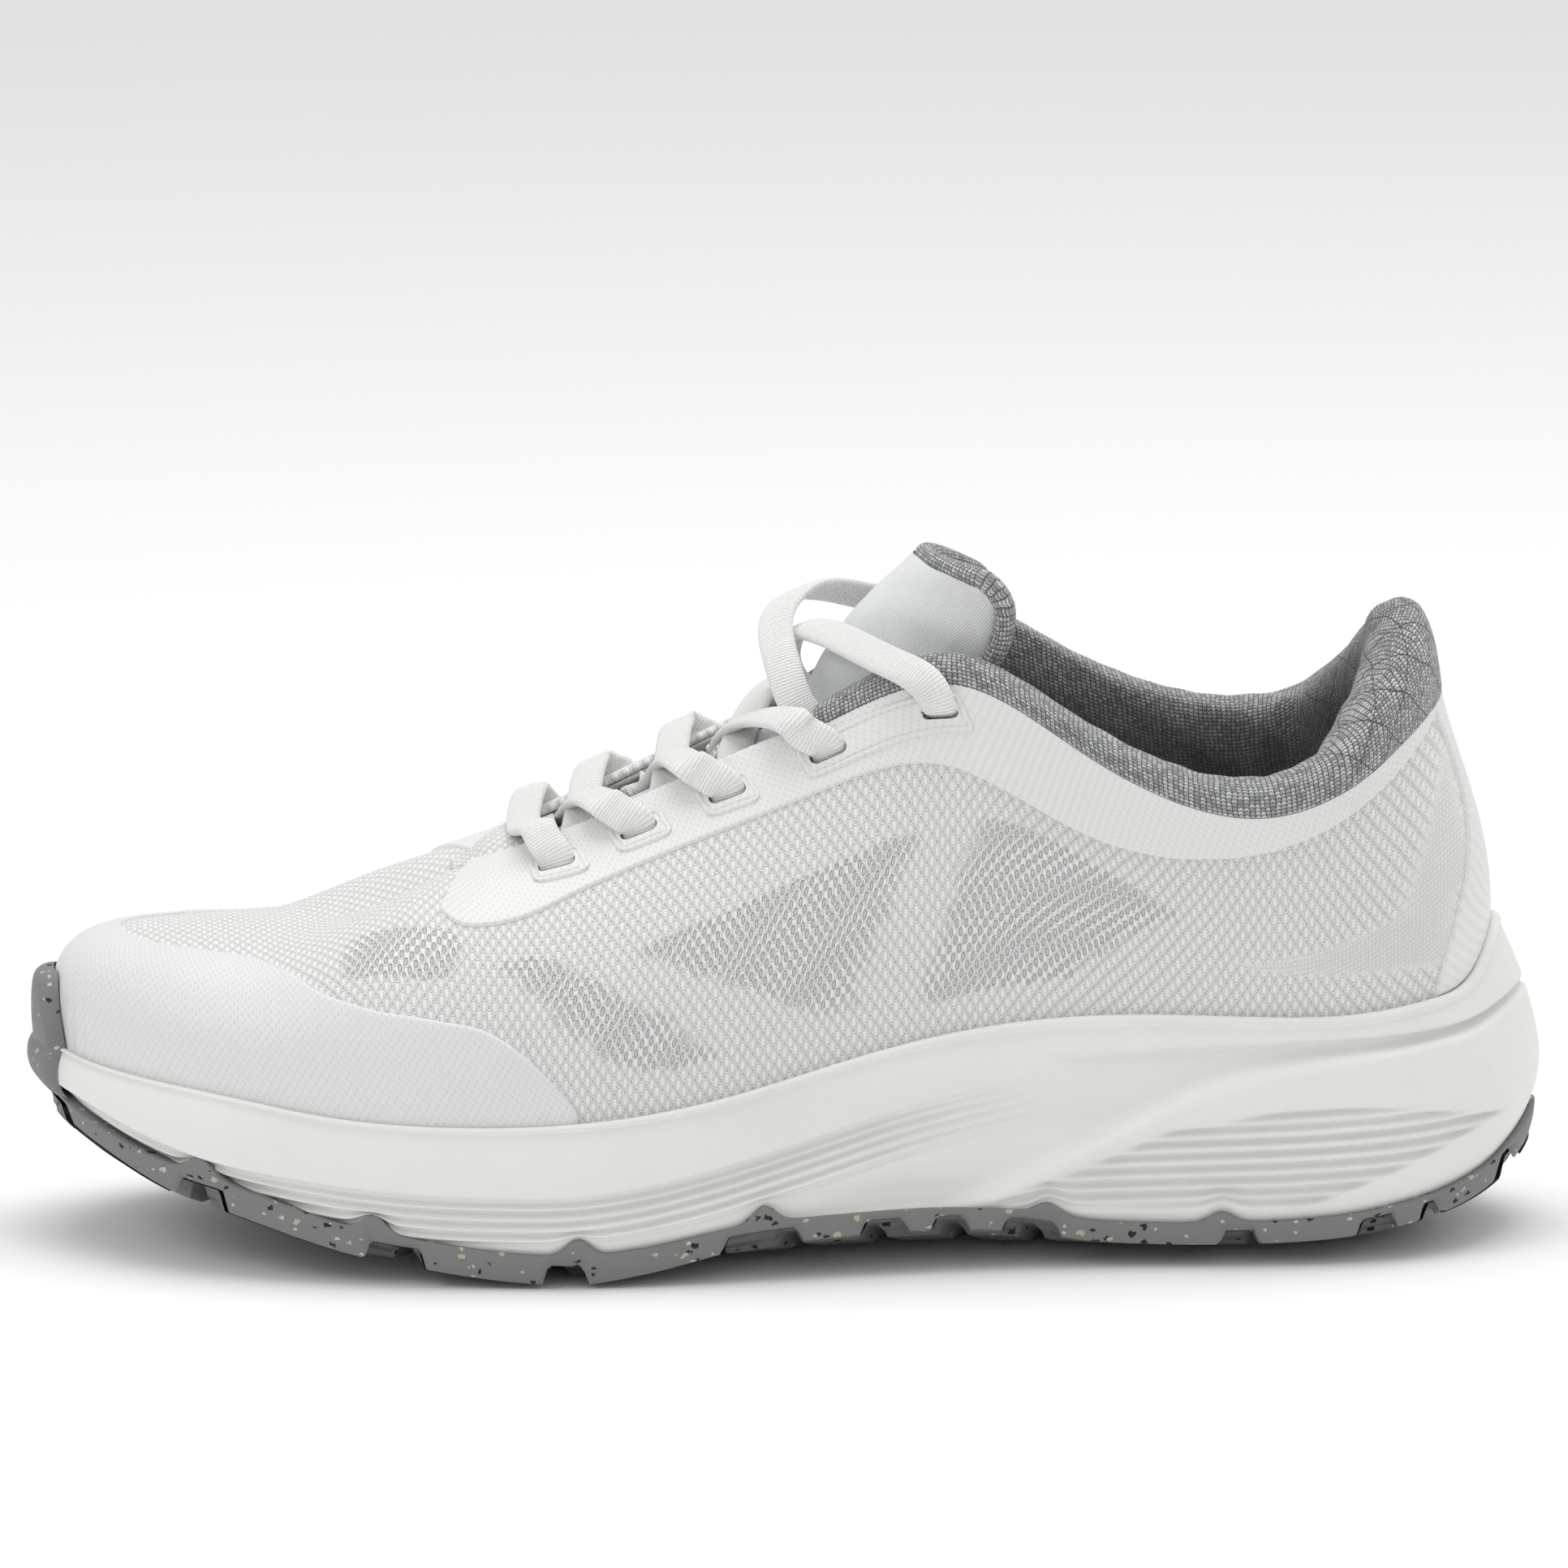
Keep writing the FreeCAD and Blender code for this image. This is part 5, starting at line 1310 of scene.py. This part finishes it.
def edge_bottom(x):
    """Height of the lugs' lower ends at the sole's edge."""
    return rocker(x) + EDGE_RISE(x)


def foam_foot(x):
    """Height of the midsole's lower edge."""
    return edge_bottom(x) + BAND(x)


def sole_detail(x, z):
    """How far the midsole's surface stands proud of, or sinks below, its smooth side."""
    fade = 1 - smoothstep(0, 62, x)
    below = CREASE(x) - z
    step = -2.0 * smoothstep(0.0, 1.2, below) * smoothstep(13, 2.0, below)
    ribs = 0.8 * np.sin(below * (2 * math.pi / 2.1))
    ribs = ribs * smoothstep(1.0, 2.4, below) * (1 - smoothstep(8.5, 11.0, below))
    front = (step + ribs * smoothstep(-143, -128, x)) * fade
    rear = smoothstep(45, 72, x)
    drop = WING(x) - z
    width = WING_WIDTH(x)
    wing = -2.8 * smoothstep(0, 1.3, drop) * (1 - smoothstep(0.35 * width, width, drop)) * rear
    left, right = 47 + (z - 16.2) * 2.3, 102.6 + (z - 12.3) * 2.7
    inside = smoothstep(-1.5, 3.0, x - left) * smoothstep(-1.0, 2.5, right - x)
    inside = inside * smoothstep(11.0, 13.5, z) * smoothstep(-0.3, 1.4, PANEL_TOP(x) - z)
    heel = (0.85 * np.sin((z - 0.03 * (x - 60)) * (2 * math.pi / 2.5)) - 1.2) * inside
    body_edge = smoothstep(-7.0, 3.0, x - 43 - (z - 17) * 2.0)
    arch = -3.4 * smoothstep(-34, 26, x) * (1 - body_edge)
    arch = arch * smoothstep(9, 17, z) * (1 - smoothstep(30, 41, z))
    return front + wing + heel + arch


def sole_groove_shade(x, z):
    """Share of groove, for the painted shade between the ribs."""
    detail = sole_detail(x, z)
    heel = smoothstep(50, 62, x) * (1 - smoothstep(26, 28, z)) * smoothstep(11, 13, z)
    return smoothstep(-0.4, -1.4, detail) * heel


def sole_side(place, share):
    """Side of the sole: share 0 at its foot on the rubber, 1 at its rim against the upper."""
    place, share = np.broadcast_arrays(np.asarray(place, float), np.asarray(share, float))
    outer = sole_point(place)
    low_z = foam_foot(sole_x(place))
    rim = base_point(place, RIM)
    rim_z = base_z(place) + 1.2
    foot = sole_point(place, -FOOT_TUCK)
    below, above = 1 - share / WIDEST, (share - WIDEST) / (1 - WIDEST)
    bulge = 1 - np.where(share < WIDEST, below, above)[..., None] ** 2
    straight = foot * (1 - share[..., None]) + rim * share[..., None]
    widest = foot * (1 - WIDEST) + rim * WIDEST
    reach = np.linalg.norm((outer - widest)[..., :2], axis=-1)[..., None]
    out = sole_outward(place)
    grid = straight + out * reach * bulge
    grid[..., 2] = low_z + (rim_z - low_z) * share
    return grid


def detailed_side(place, share):
    grid = sole_side(place, share)
    out = sole_outward(place)
    x, z = grid[..., 0], grid[..., 2]
    guard = smoothstep(0.0, 0.05, share) * (1 - smoothstep(0.93, 0.985, share))
    grid = grid + out * (sole_detail(x, z) * guard)[..., None]
    lip = 0.7 * smoothstep(0.94, 0.97, share) * (1 - smoothstep(0.985, 1.0, share))
    return grid + out * lip[..., None]


def strip_between(low_line, high_line, shares):
    """Rows of points across from one line to another."""
    t = shares[None, :, None]
    return low_line[:, None] * (1 - t) + high_line[:, None] * t


def add_midsole():
    """Foam sole: ribbed sides, a rim lip under the upper, a bed inside and a flat underside."""
    places = spread(0, AROUND, 781)[:-1]
    shares = np.concatenate([spread(0, 0.06, 4)[:-1], spread(0.06, 0.94, 110)[:-1], spread(0.94, 1.0, 8)])
    side = detailed_side(places[:, None], shares[None, :])
    side[..., 2] += notch(side[..., 0]) * (1 - smoothstep(0.0, 0.25, shares))[None, :]
    inner = base_point(places, -3.0)
    inner[:, 2] = side[:, -1, 2] - 2.2
    under = sole_point(places, -FOOT_TUCK - 4.0)
    under[:, 2] = side[:, 0, 2] + 0.3
    lip = strip_between(side[:, -1], inner, spread(0, 1, 5))[:, 1:]
    sole = strip_between(under, side[:, 0], spread(0, 1, 4))[:, :-1]
    grid = np.concatenate([sole, side, lip], axis=1)
    # groove: where the foam is painted darker as shade between the ribs
    zones = {"groove": sole_groove_shade(grid[..., 0], grid[..., 2])}
    grid_piece("midsole", grid, "midsole_foam", wrap=True, replaced=["midsole"], zones=zones)


def chevrons(x, y):
    """Height of the tread: V-shaped lugs across the sole, higher than the channels between them."""
    phase = ((x + np.abs(y - 3) * 0.35) / LUG_PITCH) % 1.0
    lug = smoothstep(0.0, 0.07, phase) * (1 - smoothstep(0.72, 0.79, phase))
    channel = smoothstep(2.2, 3.2, np.abs(y - 3))
    return lug * channel


def pods(x):
    """1 on the edge lugs, 0 in the gaps between them."""
    return sum(smoothstep(start - 0.3, start + 1.2, x) * (1 - smoothstep(end - 1.2, end + 0.3, x))
               for start, end in LUGS)


def add_outsole():
    """Rubber tread: side wall with edge lugs, and lugs under the foot bevelled up towards the edge."""
    places = spread(0, AROUND, 901)[:-1]
    x = sole_x(places)
    low = edge_bottom(x) + TREAD * BAND(x) * (1 - pods(x))
    high = foam_foot(x) + 1.2 + notch(x)
    wall = []
    for share in spread(0, 1, 14):
        proud = -1.9 + 1.3 * math.sin(share * math.pi / 2) + 0.35 * pods(x) * (1 - share)
        point = sole_point(places, proud)
        point[:, 2] = low + (high - low) * share
        wall.append(point)
    wall = np.stack(wall, axis=1)
    inner = sole_point(places, -4.4)
    inner[:, 2] = wall[:, -1, 2] - 0.4
    lip = strip_between(wall[:, -1], inner, spread(0, 1, 4))[:, 1:]
    grid_piece("outsole_wall", np.concatenate([wall, lip], axis=1), "speckled_rubber", wrap=True)

    half = spread(0.02, HALF - 0.02, 620)
    across = spread(0, 1, 190)
    lateral, medial = sole_point(half, -1.7), sole_point(AROUND - half, -1.7)
    grid = strip_between(lateral, medial, across)
    x, y = grid[..., 0], grid[..., 1]
    width = np.linalg.norm((medial - lateral)[:, None, :2], axis=-1)
    from_edge = np.minimum(across, 1 - across) * width
    edge = 1 - smoothstep(7.0, 8.5, from_edge)
    groove = smoothstep(0.4, 1.2, np.abs(from_edge - 9.0))
    lug = chevrons(x, y) * (1 - edge) + pods(x) * edge
    bevel = EDGE_RISE(x) * (1 - np.clip(from_edge / 20.0, 0, 1))
    depth = TREAD * BAND(x)
    grid[..., 2] = rocker(x) + bevel + depth * (1 - lug * groove)
    grid_piece("outsole", grid[:, ::-1], "speckled_rubber", replaced=["outsole"])


def rise_at(places, z):
    """Rise at which the upper's wall reaches a height, for a column of places and rows of heights."""
    rises = spread(0, 1, 80)
    heights = wall_point(places, rises[None, :])[..., 2]
    return np.stack([np.interp(row, column, rises) for row, column in zip(z, heights)])


def add_bumper():
    """Rubber that climbs over the toe in front of the midsole."""
    places = spread(-1.3, 1.3, 110)[:, None]
    share = edge_spacing(30.0, middle=34)[None, :]
    top = 52.0 - 24.0 * smoothstep(0.3, 1.3, np.abs(places)) ** 1.5
    low = edge_bottom(sole_x(places)) + 2.0
    z = low + (top - low) * share
    rim_z = base_z(places) + 1.2
    side = sole_side(places, np.clip((z - low) / (rim_z - low), 0, 1))
    wall = skin_point(places, rise_at(places, z), 1.3)
    weight = smoothstep(-2.0, 2.5, z - rim_z)[..., None]
    grid = side * (1 - weight) + wall * weight
    out = sole_outward(places)
    proud = 1.0 + 2.4 * smoothstep(24, 42, z)
    lift = rounded_lift(share, np.maximum(top - low, 4), proud, edge=2.0)
    end = 1 - smoothstep(0.9, 1.3, np.abs(places))
    grid = grid + out * (lift * end - 0.3 * (1 - end))[..., None]
    grid_piece("toe_bumper", grid, "speckled_rubber")


def add_insole():
    """Footbed with a dished top."""
    half = spread(0.25, HALF - 0.25, 200)
    across = spread(0, 1, 60)
    grid = strip_between(base_point(half, -5.6), base_point(AROUND - half, -5.6), across)
    dish = 3.0 * np.abs(across * 2 - 1) ** 3
    grid[..., 2] = bed(grid[..., 0]) + 4.6 + dish
    grid_piece("insole", grid, "insole_foam", replaced=["insole"], thickness=3.0)


# ------------------------------------------------------------------ the shoe

def dress_carried_nodes():
    """Materials of the inner CAD nodes that keep their own shape."""
    slots = {
        "strobel_board": "board_fabric",
        "vamp_liner": "liner_fabric",
        "quarter_liner_lateral": "liner_fabric",
        "quarter_liner_medial": "liner_fabric",
        "toe_puff": "stiffener",
        "heel_counter": "stiffener",
        "lace_aglet_lateral": "clear_tip",
        "lace_aglet_medial": "clear_tip",
    }
    for node, slot in slots.items():
        data = bpy.data.objects[node].data
        data.materials.clear()
        data.materials.append(MATERIALS[slot])


# Metres; just under the tread, so that the two never share a face.
FLOOR_REACH, FLOOR_Z = 30.0, -0.0002


def add_floor():
    data = bpy.data.meshes.new("floor")
    corners = [(-1, -1), (1, -1), (1, 1), (-1, 1)]
    data.from_pydata([(x * FLOOR_REACH, y * FLOOR_REACH, FLOOR_Z) for x, y in corners], [], [(0, 1, 2, 3)])
    floor = bpy.data.objects.new("floor", data)
    paint = Paint("studio_floor", roughness=0.9, specular=0.1)
    data.materials.append(paint.finish(grey(0.95)))
    bpy.context.scene.collection.objects.link(floor)


add_camera()
add_studio()
add_floor()
add_knit()
add_toe_film()
add_bands()
add_backings()
add_gusset()
add_patches()
add_heel_film()
add_collar()
add_tongue()
add_binding()
add_lace()
add_keeper()
add_midsole()
add_outsole()
add_bumper()
add_insole()
dress_carried_nodes()
